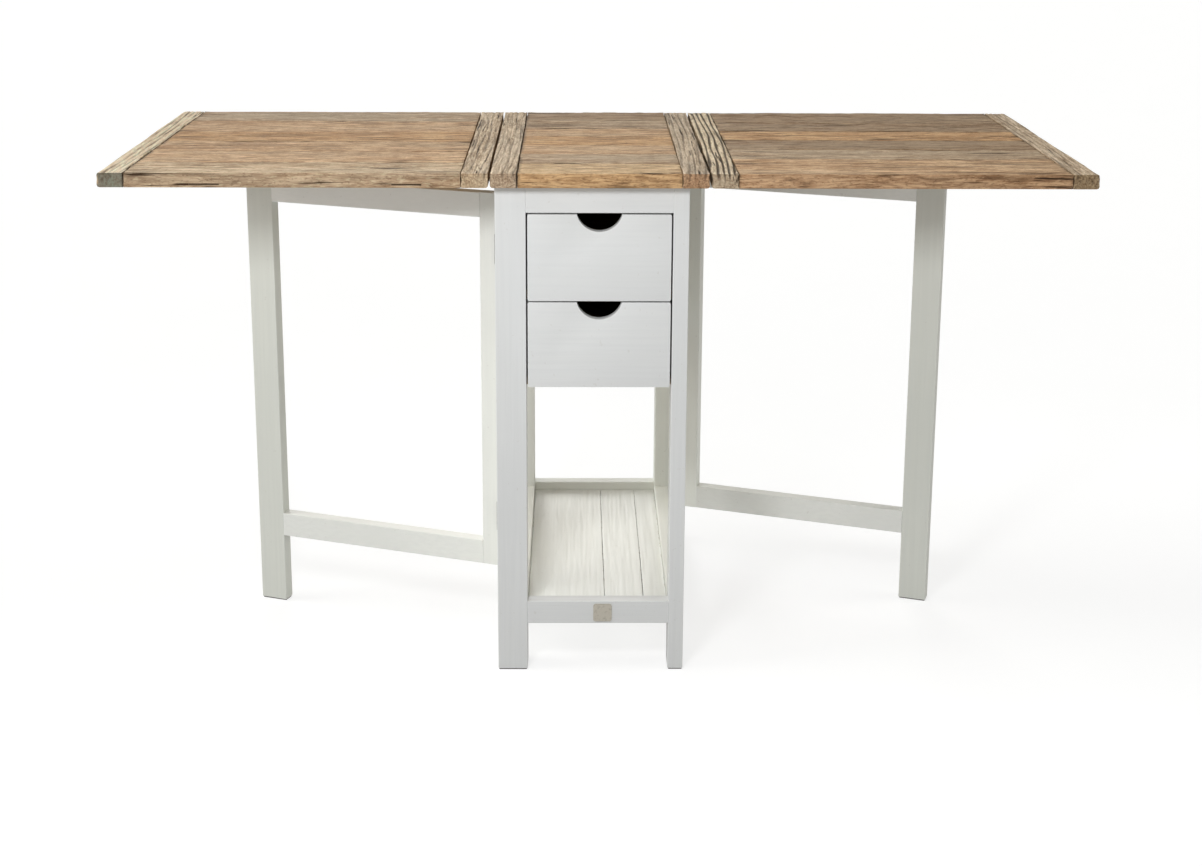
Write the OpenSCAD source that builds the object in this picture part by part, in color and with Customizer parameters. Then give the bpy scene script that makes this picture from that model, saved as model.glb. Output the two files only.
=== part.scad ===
// Folding table of bar height: a narrow fixed frame with two drawers and a shelf,
// and a leaf on each side that a swinging gate holds up. The gates stand open.
// Front is -Y, left is -X, the floor is z = 0. The right side is the left one turned half round.

/* [Top] */
// Length of the top with both leaves up
top_length = 1850; // [1500:10:2200]
// Depth of the top, front to back
top_depth = 780; // [740:5:900]
// Height of the top's upper face over the floor
table_height = 1000; // [950:5:1100]
// Thickness of the planks and battens
top_thickness = 28; // [24:1:36]
// Distance that the top reaches past the frame's front and back
top_overhang = 28; // [15:1:60]
// Distance that the fixed centre section reaches past the frame at each side
centre_overhang = 7; // [5:0.5:20]
// Gap in each seam between the centre and a leaf
seam_gap = 3; // [2.5:0.5:5]
// Width of the cross battens
batten_w = 50; // [45:1:70]
// Rounding under the seam edges
seam_round = 7; // [4:1:9]
// Rounding of the top's other long edges
edge_round = 2.5; // [1:0.5:4]
// Gap between neighbouring planks
plank_gap = 0.6; // [0.3:0.1:2]
// Gap between a plank's shoulder and its batten
shoulder_gap = 1.6; // [0.5:0.1:3]
// Thickness of the plank's tongue
tongue_t = 9; // [6:1:11]
// Length of the tongue inside the batten
tongue_len = 13; // [8:1:18]
// Clearance round a tongue in its groove
tongue_gap = 0.2; // [0.1:0.1:0.4]
// Distance of the grooves from the front and back ends
groove_end = 14; // [10:1:30]

/* [Frame] */
// Width of the frame over the wide legs
frame_width = 392; // [370:2:440]
// Depth of the pocket that a closed gate lies in
gate_pocket = 28; // [26:1:34]
// Width of the narrow legs, and thickness of the side rails in their plane
narrow_leg_w = 30; // [26:1:36]
// Depth of all legs, front to back
leg_d = 58; // [50:1:64]
// Thickness of the front and back rails
rail_t = 30; // [22:1:34]
// Height of the rails under the top
top_rail_h = 52; // [44:1:58]
// Height of the rails round the shelf
bottom_rail_h = 46; // [40:1:60]
// Height of the lower rails' underside over the floor
bottom_rail_z = 98; // [80:1:110]
// Rounding of the frame's long edges
frame_round = 1.5; // [0.5:0.5:2.5]
// Thickness of the foot pads
pad_t = 3; // [2:0.5:6]
// Rounding of the foot pads' corners
pad_round = 2; // [0.5:0.5:4]
// Distance of a pad's edge from the leg's faces
pad_inset = 1.5; // [1:0.5:5]

/* [Shelf] */
// Thickness of the shelf planks
shelf_t = 16; // [12:1:20]
// Distance of the shelf's face below the rails' upper edge
shelf_drop = 18; // [8:1:20]
// Gap between the shelf planks
shelf_gap = 0.8; // [0.4:0.1:2]
// Rounding of the shelf planks' long edges
shelf_round = 1; // [0.5:0.5:3]
// Width of the bearers under the shelf
bearer_w = 20; // [15:1:40]
// Width and height of the bare plate on the front rail
plate_size = 36; // [24:1:38]
// Thickness of that plate
plate_t = 2; // [1:0.5:3]
// Distance of the plate's middle to the right of the frame's middle
plate_x = 9; // [-40:1:40]
// Rounding of the plate's corners
plate_round = 5; // [2:0.5:8]
// Distance of the plate's two pins from its middle
plate_pin_x = 13; // [6:0.5:14]
// Radius of the plate's pins
plate_pin_r = 1; // [0.6:0.1:1.4]
// Length of the plate's pins in the rail
plate_pin_l = 10; // [6:1:16]
// Radius of the pins' heads
pin_head_r = 1.8; // [1.6:0.1:2.4]
// Height of the pins' heads
pin_head_h = 0.8; // [0.4:0.1:1.5]

/* [Drawers] */
// Height of each drawer front
drawer_front_h = 166; // [150:1:180]
// Thickness of the drawer fronts
drawer_front_t = 20; // [16:1:24]
// Gap round the drawer fronts
drawer_gap = 3; // [2:0.5:4]
// Rounding of the drawer fronts' long edges
drawer_round = 1; // [0.5:0.5:2]
// Thickness of the drawer sides
drawer_side_t = 14; // [12:1:16]
// Thickness of the drawer backs
drawer_back_t = 12; // [10:1:16]
// Thickness of the drawer bottoms
drawer_bottom_t = 6; // [4:1:8]
// Depth of the groove that holds a drawer bottom
drawer_groove = 6; // [4:1:7]
// Height of the bottom's underside over the sides' lower edge
drawer_bottom_z = 8; // [6:1:14]
// Radius of the finger notch
notch_r = 44; // [36:1:50]
// Depth of the finger notch below the front's upper edge
notch_depth = 33; // [25:1:36]
// Thickness of the panels that close the case
panel_t = 12; // [8:1:15]
// Height of the runner strips
runner_h = 15; // [12:1:18]
// Width of the runner strips
runner_w = 17; // [15:1:20]
// Gap between a runner and the drawer side over it
runner_gap = 0.3; // [0.2:0.1:1]
// Distance of the case's back panel from the frame's back
back_inset = 10; // [4:1:20]
// Distance between a drawer's back and the case's back panel
stop_l = 12; // [8:1:20]
// Distance of a drawer back's upper edge below the drawer's sides
back_drop = 6; // [0:1:20]
// Clearance round a drawer bottom in its grooves
bottom_gap = 0.2; // [0.1:0.1:0.5]

/* [Gates] */
// Thickness of a gate
gate_t = 27; // [22:0.5:33]
// Width of a gate's outer leg
gate_leg_w = 58; // [45:1:62]
// Width of a gate's hinge stile
stile_w = 36; // [30:1:50]
// Height of a gate's rails
gate_rail_h = 50; // [40:1:70]
// Height of the gate's lower edge over the floor
gate_low_z = 149; // [145:1:180]
// Distance of the gate's upper rail below the top
gate_top_gap = 48; // [30:1:56]
// Distance of the hinge post's rear face from the frame's front
hinge_set = 168; // [150:2:190]
// Width of the hinge posts
post_w = 58; // [45:1:62]
// Gap between a hinge post and the closed gate
gate_gap = 2.4; // [2:0.2:4]
// Angle from closed at which a gate stands open
gate_open = 70; // [40:1:80]
// Clearance over the gate's leg and beside its stop
rest_gap = 0.3; // [0.2:0.1:0.6]
// Thickness of the stop block under a leaf
stop_t = 20; // [12:1:30]
// Height of the stop block
stop_h = 28; // [15:1:40]

/* [Hinges] */
// Length of a gate hinge
gate_hinge_l = 60; // [45:1:80]
// Distance of a gate hinge's middle from the end of the gate's stile
gate_hinge_set = 110; // [90:1:160]
// Width of a gate hinge's leaf
gate_hinge_w = 22; // [18:1:23]
// Radius of a gate hinge's barrel
gate_barrel_r = 4; // [3.5:0.5:5]
// Length of a flap hinge
flap_hinge_l = 44; // [38:1:46]
// Width of a flap hinge's leaf from its pin
flap_hinge_w = 32; // [26:1:38]
// Radius of a flap hinge's barrel
flap_barrel_r = 3.5; // [3:0.5:4]
// Thickness of the hinge leaves
hinge_t = 2; // [1.5:0.1:2.2]
// Radius of the hinge pins
hinge_pin_r = 1.5; // [1:0.1:1.8]
// Running clearance round the pins
pin_gap = 0.05; // [0.02:0.01:0.1]
// Gap between neighbouring knuckles
knuckle_gap = 0.5; // [0.3:0.1:1]
// Distance of a hinge screw's middle from the leaf's free edge
hinge_screw_in = 8; // [7:0.5:10]
// Distance of a hinge screw's middle from the leaf's ends
hinge_screw_end = 9; // [7:0.5:12]
// Height of the hinge pins' end caps
pin_cap_h = 0.8; // [0.5:0.1:1.5]
// Radius of the wood screws' shanks
screw_r = 1.6; // [1.2:0.1:2]
// Length of the wood screws
screw_l = 15; // [10:1:18]
// Size of the brackets that hold the top
bracket_size = 30; // [24:1:34]
// Width of those brackets
bracket_w = 20; // [14:1:24]
// Thickness of those brackets
bracket_t = 2.5; // [2:0.5:4]
// Distance of the brackets' screws from their outer edges
bracket_screw_in = 12; // [8:0.5:14]
// Distance of the brackets from the legs
bracket_set = 104; // [40:1:200]

/* [Hidden] */
$fn = 48;

// A cut that runs past a face by this much leaves no skin there
over = 1;
// Gap between a gate hinge's barrel and the gate's outer face
barrel_gap = 0.2;
// A gate hinge's leaves lie this far to each side of the pin's plane
hinge_face = 0.15;
// Clearance round the screws in their holes
screw_gap = 0.05;
screw_head_r = 2 * screw_r;
under_z = table_height - top_thickness;
half_len = top_length / 2;
half_dep = top_depth / 2;
frame_x = frame_width / 2;
frame_y = half_dep - top_overhang;
rail_x = frame_x - gate_pocket;
inner_x = rail_x - narrow_leg_w;
centre_x = frame_x + centre_overhang;
seam_x = centre_x + seam_gap / 2;
leaf_x = centre_x + seam_gap;
case_top = under_z - top_rail_h;
bottom_rail_top = bottom_rail_z + bottom_rail_h;
shelf_top = bottom_rail_top - shelf_drop;
post_y = hinge_set - frame_y;
gate_y = post_y + gate_gap;
gate_top = under_z - gate_top_gap;
gate_leg_y = frame_y - gate_leg_w;
// Pin of the left gate's hinges
gate_pin = [-frame_x - gate_barrel_r - barrel_gap, post_y + gate_gap / 2];
gate_hinge_z = [gate_low_z + gate_hinge_set, gate_top - gate_hinge_set];
// Pins of the flap hinges. The outer hinges lie between a wide leg and a hinge post.
flap_pin_z = under_z - hinge_t;
flap_hinge_set = (frame_y - leg_d + post_w - post_y) / 2;
flap_hinge_y = [-flap_hinge_set, 0, flap_hinge_set];
// Drawers, counted from the top: heights of their fronts' lower edges
front_low = [for (i = [0, 1]) case_top - (i + 1) * (drawer_front_h + drawer_gap)];
case_low = front_low[1];
drawer_x = inner_x - drawer_gap;
back_panel_y = frame_y - back_inset - panel_t;
drawer_end = back_panel_y - stop_l;
// Shares of the depth that the planks take, front to back
left_shares = [120, 125, 120, 125, 150, 140];
centre_shares = [108, 112, 108, 110, 104, 118, 120];
right_shares = [168, 112, 113, 117, 117, 153];
// Shares of the shelf's width that its planks take, left to right
shelf_shares = [152, 78, 46];

PAINT = "WhiteSmoke";
WOOD = "BurlyWood";
GREY_WOOD = "Tan";
METAL = "Silver";
RUBBER = "DimGray";
RAW = "Wheat";

function sum_to(v, n) = n == 0 ? 0 : v[n - 1] + sum_to(v, n - 1);
// Place of the edge before share n, in a stretch of the given length that starts at 0
function edge_at(v, n, length) = length * sum_to(v, n) / sum_to(v, len(v));

module half_turn() {
    rotate([0, 0, 180])
        children();
}

// Section of a bar with its own rounding at each corner, counted from the lower left, anticlockwise
module section(w, h, radii) {
    corners = [[0, 0], [w, 0], [w, h], [0, h]];
    difference() {
        square([w, h]);
        for (i = [0 : 3])
            translate(corners[i])
                rotate(90 * i)
                    difference() {
                        translate([-over, -over])
                            square(radii[i] + over);
                        translate([radii[i], radii[i]])
                            circle(radii[i]);
                    }
    }
}

// Bars with their low corner at a point and their long edges rounded alike
module bar_x(at, size, r) {
    translate(at)
        rotate([90, 0, 90])
            linear_extrude(size.x)
                section(size.y, size.z, [r, r, r, r]);
}

module bar_y(at, size, radii) {
    translate([at.x, at.y + size.y, at.z])
        rotate([90, 0, 0])
            linear_extrude(size.y)
                section(size.x, size.z, radii);
}

module bar_z(at, size, r) {
    translate(at)
        linear_extrude(size.z)
            section(size.x, size.y, [r, r, r, r]);
}

// Countersunk screw from its head's face at the origin, into +Z, grown by a clearance
module screw_body(gap) {
    cylinder(h = screw_head_r - screw_r, r1 = screw_head_r + gap, r2 = screw_r + gap);
    cylinder(h = screw_l + 4 * gap, r = screw_r + gap);
}

module screw() {
    difference() {
        screw_body(0);
        translate([-screw_head_r, -screw_r / 4, -over])
            cube([2 * screw_head_r, screw_r / 2, over + screw_r / 3]);
    }
}

// Round pin along +Z with a cap at each end
module hinge_pin(length) {
    cylinder(h = length, r = hinge_pin_r);
    for (z = [-pin_cap_h, length])
        translate([0, 0, z])
            cylinder(h = pin_cap_h, r = hinge_pin_r + pin_cap_h);
}

// One leaf of a three-knuckle hinge. The pin is the Z axis and the leaf runs to +X.
// Its metal lies on the +Y side of the plane y = face, and its middle knuckle turns
// on the pin where it is the inner leaf.
module hinge_leaf(length, width, barrel_r, face, inner, screws) {
    third = (length - 2 * knuckle_gap) / 3;
    starts = inner ? [third + knuckle_gap] : [0, length - third];
    bore_r = hinge_pin_r + (inner ? pin_gap : 0);
    root = barrel_r + knuckle_gap;
    difference() {
        union() {
            translate([root, face, 0])
                cube([width - root, hinge_t, length]);
            for (z = starts)
                translate([0, 0, z]) {
                    cylinder(h = third, r = barrel_r);
                    translate([0, face, 0])
                        cube([root + over, hinge_t, third]);
                }
        }
        for (z = starts)
            translate([0, 0, z - knuckle_gap / 2])
                cylinder(h = third + knuckle_gap, r = bore_r);
        for (s = screws)
            translate([s.x, face, s.y])
                rotate([-90, 0, 0])
                    screw_body(screw_gap);
    }
}

// Screw places in a hinge leaf's own plane, by distance from the pin and along it
function hinge_screws(length, width) = [
    for (end = [hinge_screw_end, length - hinge_screw_end]) [width - hinge_screw_in, end]
];
flap_screws = hinge_screws(flap_hinge_l, flap_hinge_w);
gate_screws = hinge_screws(gate_hinge_l, gate_hinge_w);

// Puts a hinge on the left seam. Its leaf lies under the wood with the pin along Y.
module at_flap_hinges() {
    for (y = flap_hinge_y)
        translate([-seam_x, y + flap_hinge_l / 2, flap_pin_z])
            rotate([90, 0, 0])
                children();
}

// Puts a hinge at each height of the left gate's pin line, leaf towards the wood
module at_gate_hinges() {
    for (z = gate_hinge_z)
        translate([gate_pin.x, gate_pin.y, z - gate_hinge_l / 2])
            children();
}

// Turns what is drawn as on the closed left gate to where the open gate is
module swing() {
    translate([gate_pin.x, gate_pin.y, 0])
        rotate([0, 0, gate_open])
            translate([-gate_pin.x, -gate_pin.y, 0])
                children();
}

// Screws and screw holes of the left seam's hinges, in the centre or in the leaf
module flap_screw_set(towards_leaf, hole) {
    at_flap_hinges()
        mirror([towards_leaf ? 1 : 0, 0, 0])
            for (s = flap_screws)
                translate([s.x, 0, s.y])
                    rotate([-90, 0, 0])
                        if (hole)
                            screw_body(screw_gap);
                        else
                            screw();
}

// The same for the left gate's hinges, in the post or in the gate
module gate_screw_set(in_gate, hole) {
    at_gate_hinges()
        mirror([0, in_gate ? 0 : 1, 0])
            translate([0, hinge_face, 0])
                for (s = gate_screws)
                    translate([s.x, 0, s.y])
                        rotate([-90, 0, 0])
                            if (hole)
                                screw_body(screw_gap);
                            else
                                screw();
}

// Brackets under the centre of the top, on the side rails
module at_brackets() {
    for (turn = [0, 180])
        for (side = [-1, 1])
            rotate([0, 0, turn])
                translate([-inner_x, side * (frame_y - leg_d - bracket_set), under_z])
                    children();
}

module bracket_screws(hole) {
    at_brackets() {
        translate([bracket_size - bracket_screw_in, 0, -bracket_t])
            if (hole)
                screw_body(screw_gap);
            else
                screw();
        translate([bracket_t, 0, bracket_screw_in - bracket_size])
            rotate([0, -90, 0])
                if (hole)
                    screw_body(screw_gap);
                else
                    screw();
    }
}

// Legs and pads
module wide_leg() {
    bar_z([-frame_x, -frame_y, pad_t], [frame_x - inner_x, leg_d, under_z - pad_t], frame_round);
}

module narrow_leg() {
    bar_z([-rail_x, frame_y - leg_d, pad_t], [narrow_leg_w, leg_d, under_z - pad_t], frame_round);
}

module foot_pad(at, w, d) {
    translate([at.x + pad_inset, at.y + pad_inset, 0])
        linear_extrude(pad_t)
            section(w - 2 * pad_inset, d - 2 * pad_inset, [pad_round, pad_round, pad_round, pad_round]);
}

module leg_front_left() {
    color(PAINT)
        wide_leg();
}

module leg_back_right() {
    color(PAINT)
        half_turn()
            wide_leg();
}

module leg_back_left() {
    color(PAINT)
        narrow_leg();
}

module leg_front_right() {
    color(PAINT)
        half_turn()
            narrow_leg();
}

module frame_foot_pads() {
    color(RUBBER)
        for (turn = [0, 180])
            rotate([0, 0, turn]) {
                foot_pad([-frame_x, -frame_y], frame_x - inner_x, leg_d);
                foot_pad([-rail_x, frame_y - leg_d], narrow_leg_w, leg_d);
            }
}

// Rails
module cross_rail(z, h) {
    bar_x([-inner_x, -frame_y, z], [2 * inner_x, rail_t, h], frame_round);
}

module side_rail(z, h) {
    r = frame_round;
    bar_y([-rail_x, leg_d - frame_y, z], [narrow_leg_w, 2 * (frame_y - leg_d), h], [r, r, r, r]);
}

module top_rail_front() {
    color(PAINT)
        cross_rail(case_top, top_rail_h);
}

module top_rail_back() {
    color(PAINT)
        half_turn()
            cross_rail(case_top, top_rail_h);
}

module top_rail_left() {
    color(PAINT)
        difference() {
            side_rail(case_top, top_rail_h);
            bracket_screws(true);
        }
}

module top_rail_right() {
    color(PAINT)
        difference() {
            half_turn()
                side_rail(case_top, top_rail_h);
            bracket_screws(true);
        }
}

module bottom_rail_front() {
    pin_z = bottom_rail_z + bottom_rail_h / 2;
    color(PAINT)
        difference() {
            cross_rail(bottom_rail_z, bottom_rail_h);
            for (side = [-1, 1])
                translate([plate_x + side * plate_pin_x, over - frame_y + plate_pin_l, pin_z])
                    rotate([90, 0, 0])
                        cylinder(h = plate_pin_l + 2 * over, r = plate_pin_r);
        }
}

module bottom_rail_back() {
    color(PAINT)
        half_turn()
            cross_rail(bottom_rail_z, bottom_rail_h);
}

module bottom_rail_left() {
    color(PAINT)
        side_rail(bottom_rail_z, bottom_rail_h);
}

module bottom_rail_right() {
    color(PAINT)
        half_turn()
            side_rail(bottom_rail_z, bottom_rail_h);
}

// Posts that carry the gates, lapped over the side rails
module hinge_post() {
    difference() {
        bar_z([-frame_x, post_y - post_w, bottom_rail_z], [gate_pocket, post_w, under_z - bottom_rail_z],
              frame_round);
        hinge_mortises(false);
        gate_screw_set(false, true);
    }
}

// Shallow beds for the gate hinges' leaves, in the post or in the closed gate's stile
module hinge_mortises(in_gate) {
    depth = hinge_t + hinge_face;
    at_gate_hinges()
        mirror([0, in_gate ? 0 : 1, 0])
            translate([0, -over, 0])
                cube([gate_hinge_w, depth + over, gate_hinge_l]);
}

module hinge_post_left() {
    color(PAINT)
        hinge_post();
}

module hinge_post_right() {
    color(PAINT)
        half_turn()
            hinge_post();
}

// Drawer case
module case_side_panels() {
    color(PAINT)
        for (turn = [0, 180])
            rotate([0, 0, turn])
                translate([-inner_x - panel_t, leg_d - frame_y, case_low])
                    cube([panel_t, 2 * (frame_y - leg_d), case_top - case_low]);
}

module case_back_panel() {
    color(PAINT)
        translate([-inner_x, back_panel_y, case_low])
            cube([2 * inner_x, panel_t, case_top - case_low]);
}

// Strips on the case sides that carry the drawers, and under the top two more
// between the rails that keep the upper drawer from tipping
module drawer_runners() {
    start = drawer_front_t + runner_gap - frame_y;
    rail_y = frame_y - rail_t;
    color(RAW)
        for (side = [0, 1])
            mirror([side, 0, 0]) {
                for (z = front_low)
                    translate([-inner_x, start, z])
                        cube([runner_w, back_panel_y - start, runner_h]);
                translate([-inner_x, -rail_y, case_top])
                    cube([runner_w, 2 * rail_y, runner_h]);
            }
}

// Blocks on the runners' rear ends that the closed drawers meet
module drawer_stops() {
    color(RAW)
        for (side = [0, 1])
            mirror([side, 0, 0])
                for (z = front_low)
                    translate([-inner_x, drawer_end + rest_gap, z + runner_h])
                        cube([runner_w, stop_l - rest_gap, runner_h]);
}

// Shelf
module shelf_bearers() {
    inside_y = frame_y - rail_t;
    color(RAW)
        for (y = [-inside_y, -bearer_w / 2, inside_y - bearer_w])
            translate([-inner_x, y, bottom_rail_z])
                cube([2 * inner_x, bearer_w, shelf_top - shelf_t - bottom_rail_z]);
}

module shelf_planks() {
    inside_y = frame_y - rail_t - shelf_gap / 2;
    width = 2 * inner_x;
    g = shelf_gap;
    color(PAINT)
        for (i = [0 : len(shelf_shares) - 1]) {
            low = edge_at(shelf_shares, i, width) - inner_x;
            high = edge_at(shelf_shares, i + 1, width) - inner_x;
            bar_y([low + g / 2, -inside_y, shelf_top - shelf_t], [high - low - g, 2 * inside_y, shelf_t],
                  [shelf_round, shelf_round, shelf_round, shelf_round]);
        }
}

// Bare plate and its two pins
module front_plate() {
    pin_z = bottom_rail_z + bottom_rail_h / 2;
    r = plate_round;
    color(METAL)
        difference() {
            translate([plate_x - plate_size / 2, -frame_y, pin_z - plate_size / 2])
                rotate([90, 0, 0])
                    linear_extrude(plate_t)
                        section(plate_size, plate_size, [r, r, r, r]);
            for (side = [-1, 1])
                translate([plate_x + side * plate_pin_x, over - frame_y, pin_z])
                    rotate([90, 0, 0])
                        cylinder(h = plate_t + 2 * over, r = plate_pin_r + screw_gap);
        }
}

module plate_pins() {
    pin_z = bottom_rail_z + bottom_rail_h / 2;
    color(METAL)
        for (side = [-1, 1])
            translate([plate_x + side * plate_pin_x, plate_pin_l - frame_y, pin_z])
                rotate([90, 0, 0]) {
                    cylinder(h = plate_pin_l + plate_t, r = plate_pin_r);
                    translate([0, 0, plate_pin_l + plate_t])
                        cylinder(h = pin_head_h, r = pin_head_r);
                }
}

// Planks between two battens, whose inner faces are at low_x and high_x
module plank_row(low_x, high_x, shares) {
    mid_z = under_z + top_thickness / 2;
    last = len(shares) - 1;
    for (i = [0 : last]) {
        low = edge_at(shares, i, top_depth) - half_dep + (i == 0 ? 0 : plank_gap / 2);
        high = edge_at(shares, i + 1, top_depth) - half_dep - (i == last ? 0 : plank_gap / 2);
        tongue_low = max(low, groove_end + tongue_gap - half_dep);
        tongue_high = min(high, half_dep - groove_end - tongue_gap);
        bar_x([low_x + shoulder_gap, low, under_z],
              [high_x - low_x - 2 * shoulder_gap, high - low, top_thickness], edge_round);
        for (x = [low_x - tongue_len, high_x - shoulder_gap - over])
            translate([x, tongue_low, mid_z - tongue_t / 2])
                cube([tongue_len + shoulder_gap + over, tongue_high - tongue_low, tongue_t]);
    }
}

// Batten from low_x to low_x + batten_w, with a groove in the side that the planks meet
module batten(low_x, radii, groove_side) {
    mid_z = under_z + top_thickness / 2;
    groove_t = tongue_t + 2 * tongue_gap;
    groove_d = tongue_len + 2 * tongue_gap;
    groove_x = groove_side < 0 ? low_x - over : low_x + batten_w - groove_d;
    difference() {
        bar_y([low_x, -half_dep, under_z], [batten_w, top_depth, top_thickness], radii);
        translate([groove_x, groove_end - half_dep, mid_z - groove_t / 2])
            cube([groove_d + over, top_depth - 2 * groove_end, groove_t]);
    }
}

module centre_planks() {
    color(WOOD)
        difference() {
            plank_row(batten_w - centre_x, centre_x - batten_w, centre_shares);
            bracket_screws(true);
        }
}

module centre_seam_batten() {
    r = edge_round;
    difference() {
        batten(-centre_x, [seam_round, r, r, r], 1);
        flap_screw_set(false, true);
    }
}

module centre_batten_left() {
    color(GREY_WOOD)
        centre_seam_batten();
}

module centre_batten_right() {
    color(GREY_WOOD)
        half_turn()
            centre_seam_batten();
}

module top_brackets() {
    color(METAL)
        difference() {
            at_brackets()
                translate([0, -bracket_w / 2, 0]) {
                    translate([0, 0, -bracket_size])
                        cube([bracket_t, bracket_w, bracket_size]);
                    translate([0, 0, -bracket_t])
                        cube([bracket_size, bracket_w, bracket_t]);
                }
            bracket_screws(true);
        }
}

module frame_screws() {
    color(METAL) {
        bracket_screws(false);
        for (turn = [0, 180])
            rotate([0, 0, turn]) {
                flap_screw_set(false, false);
                gate_screw_set(false, false);
            }
    }
}

// Flap hinges under the seams
module flap_hinge_leaves() {
    color(METAL)
        for (turn = [0, 180])
            rotate([0, 0, turn])
                at_flap_hinges()
                    hinge_leaf(flap_hinge_l, flap_hinge_w, flap_barrel_r, 0, false, flap_screws);
}

module flap_hinge_pins() {
    color(METAL)
        for (turn = [0, 180])
            rotate([0, 0, turn])
                at_flap_hinges()
                    hinge_pin(flap_hinge_l);
}

module leaf_hinges() {
    at_flap_hinges()
        mirror([1, 0, 0])
            hinge_leaf(flap_hinge_l, flap_hinge_w, flap_barrel_r, 0, true, flap_screws);
    flap_screw_set(true, false);
}

// Gate hinges, whose leaves stand off the pin's plane so that the closed ones don't touch
module gate_hinge_side(in_gate) {
    at_gate_hinges()
        mirror([0, in_gate ? 0 : 1, 0])
            hinge_leaf(gate_hinge_l, gate_hinge_w, gate_barrel_r, hinge_face, in_gate, gate_screws);
}

module gate_hinge_leaves() {
    color(METAL)
        for (turn = [0, 180])
            rotate([0, 0, turn])
                gate_hinge_side(false);
}

module gate_hinge_pins() {
    color(METAL)
        for (turn = [0, 180])
            rotate([0, 0, turn])
                at_gate_hinges()
                    hinge_pin(gate_hinge_l);
}

// Leaves of the top, drawn at the left
module leaf_inner_batten() {
    r = edge_round;
    difference() {
        batten(-leaf_x - batten_w, [r, seam_round, r, r], -1);
        flap_screw_set(true, true);
    }
}

module leaf_outer_batten() {
    r = edge_round;
    batten(-half_len, [r, r, r, r], 1);
}

module leaf_stop_block() {
    swing()
        bar_z([-frame_x - rest_gap - stop_t, gate_leg_y, under_z - stop_h], [stop_t, gate_leg_w, stop_h],
              frame_round);
}

module left_leaf_planks() {
    color(WOOD)
        plank_row(batten_w - half_len, -leaf_x - batten_w, left_shares);
}

module left_leaf_inner_batten() {
    color(GREY_WOOD)
        leaf_inner_batten();
}

module left_leaf_outer_batten() {
    color(GREY_WOOD)
        leaf_outer_batten();
}

module left_leaf_stop_block() {
    color(RAW)
        leaf_stop_block();
}

module left_leaf_hinges() {
    color(METAL)
        leaf_hinges();
}

module right_leaf_planks() {
    color(WOOD)
        plank_row(leaf_x + batten_w, half_len - batten_w, right_shares);
}

module right_leaf_inner_batten() {
    color(GREY_WOOD)
        half_turn()
            leaf_inner_batten();
}

module right_leaf_outer_batten() {
    color(GREY_WOOD)
        half_turn()
            leaf_outer_batten();
}

module right_leaf_stop_block() {
    color(RAW)
        half_turn()
            leaf_stop_block();
}

module right_leaf_hinges() {
    color(METAL)
        half_turn()
            leaf_hinges();
}

// Gates, drawn closed at the left and swung open
module gate_leg() {
    swing()
        bar_z([-frame_x, gate_leg_y, pad_t], [gate_t, gate_leg_w, under_z - rest_gap - pad_t], frame_round);
}

module gate_stile() {
    swing()
        difference() {
            bar_z([-frame_x, gate_y, gate_low_z], [gate_t, stile_w, gate_top - gate_low_z], frame_round);
            hinge_mortises(true);
            gate_screw_set(true, true);
        }
}

module gate_rail(z) {
    r = frame_round;
    start = gate_y + stile_w;
    swing()
        bar_y([-frame_x, start, z], [gate_t, gate_leg_y - start, gate_rail_h], [r, r, r, r]);
}

module gate_foot_pad() {
    swing()
        foot_pad([-frame_x, gate_leg_y], gate_t, gate_leg_w);
}

module gate_hinges() {
    swing() {
        gate_hinge_side(true);
        gate_screw_set(true, false);
    }
}

module left_gate_leg() {
    color(PAINT)
        gate_leg();
}

module left_gate_stile() {
    color(PAINT)
        gate_stile();
}

module left_gate_top_rail() {
    color(PAINT)
        gate_rail(gate_top - gate_rail_h);
}

module left_gate_bottom_rail() {
    color(PAINT)
        gate_rail(gate_low_z);
}

module left_gate_foot_pad() {
    color(RUBBER)
        gate_foot_pad();
}

module left_gate_hinges() {
    color(METAL)
        gate_hinges();
}

module right_gate_leg() {
    color(PAINT)
        half_turn()
            gate_leg();
}

module right_gate_stile() {
    color(PAINT)
        half_turn()
            gate_stile();
}

module right_gate_top_rail() {
    color(PAINT)
        half_turn()
            gate_rail(gate_top - gate_rail_h);
}

module right_gate_bottom_rail() {
    color(PAINT)
        half_turn()
            gate_rail(gate_low_z);
}

module right_gate_foot_pad() {
    color(RUBBER)
        half_turn()
            gate_foot_pad();
}

module right_gate_hinges() {
    color(METAL)
        half_turn()
            gate_hinges();
}

// Drawers, each drawn from the lower edge of its front
box_low = runner_h + runner_gap;
box_h = drawer_front_h - box_low;
bottom_x = drawer_x - drawer_side_t + drawer_groove - bottom_gap;

// The space that the bottom's edge takes in the front, sides and back
module bottom_groove(low) {
    g = bottom_gap;
    z = low + box_low + drawer_bottom_z - g / 2;
    translate([-bottom_x - g, drawer_front_t - drawer_groove - frame_y, z])
        cube([2 * (bottom_x + g), drawer_end + frame_y, drawer_bottom_t + g]);
}

module drawer_front(low) {
    notch_z = low + drawer_front_h - notch_depth + notch_r;
    difference() {
        bar_x([-drawer_x, -frame_y, low], [2 * drawer_x, drawer_front_t, drawer_front_h], drawer_round);
        translate([0, drawer_front_t + over - frame_y, notch_z])
            rotate([90, 0, 0])
                cylinder(h = drawer_front_t + 2 * over, r = notch_r, $fn = 96);
        bottom_groove(low);
    }
}

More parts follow.
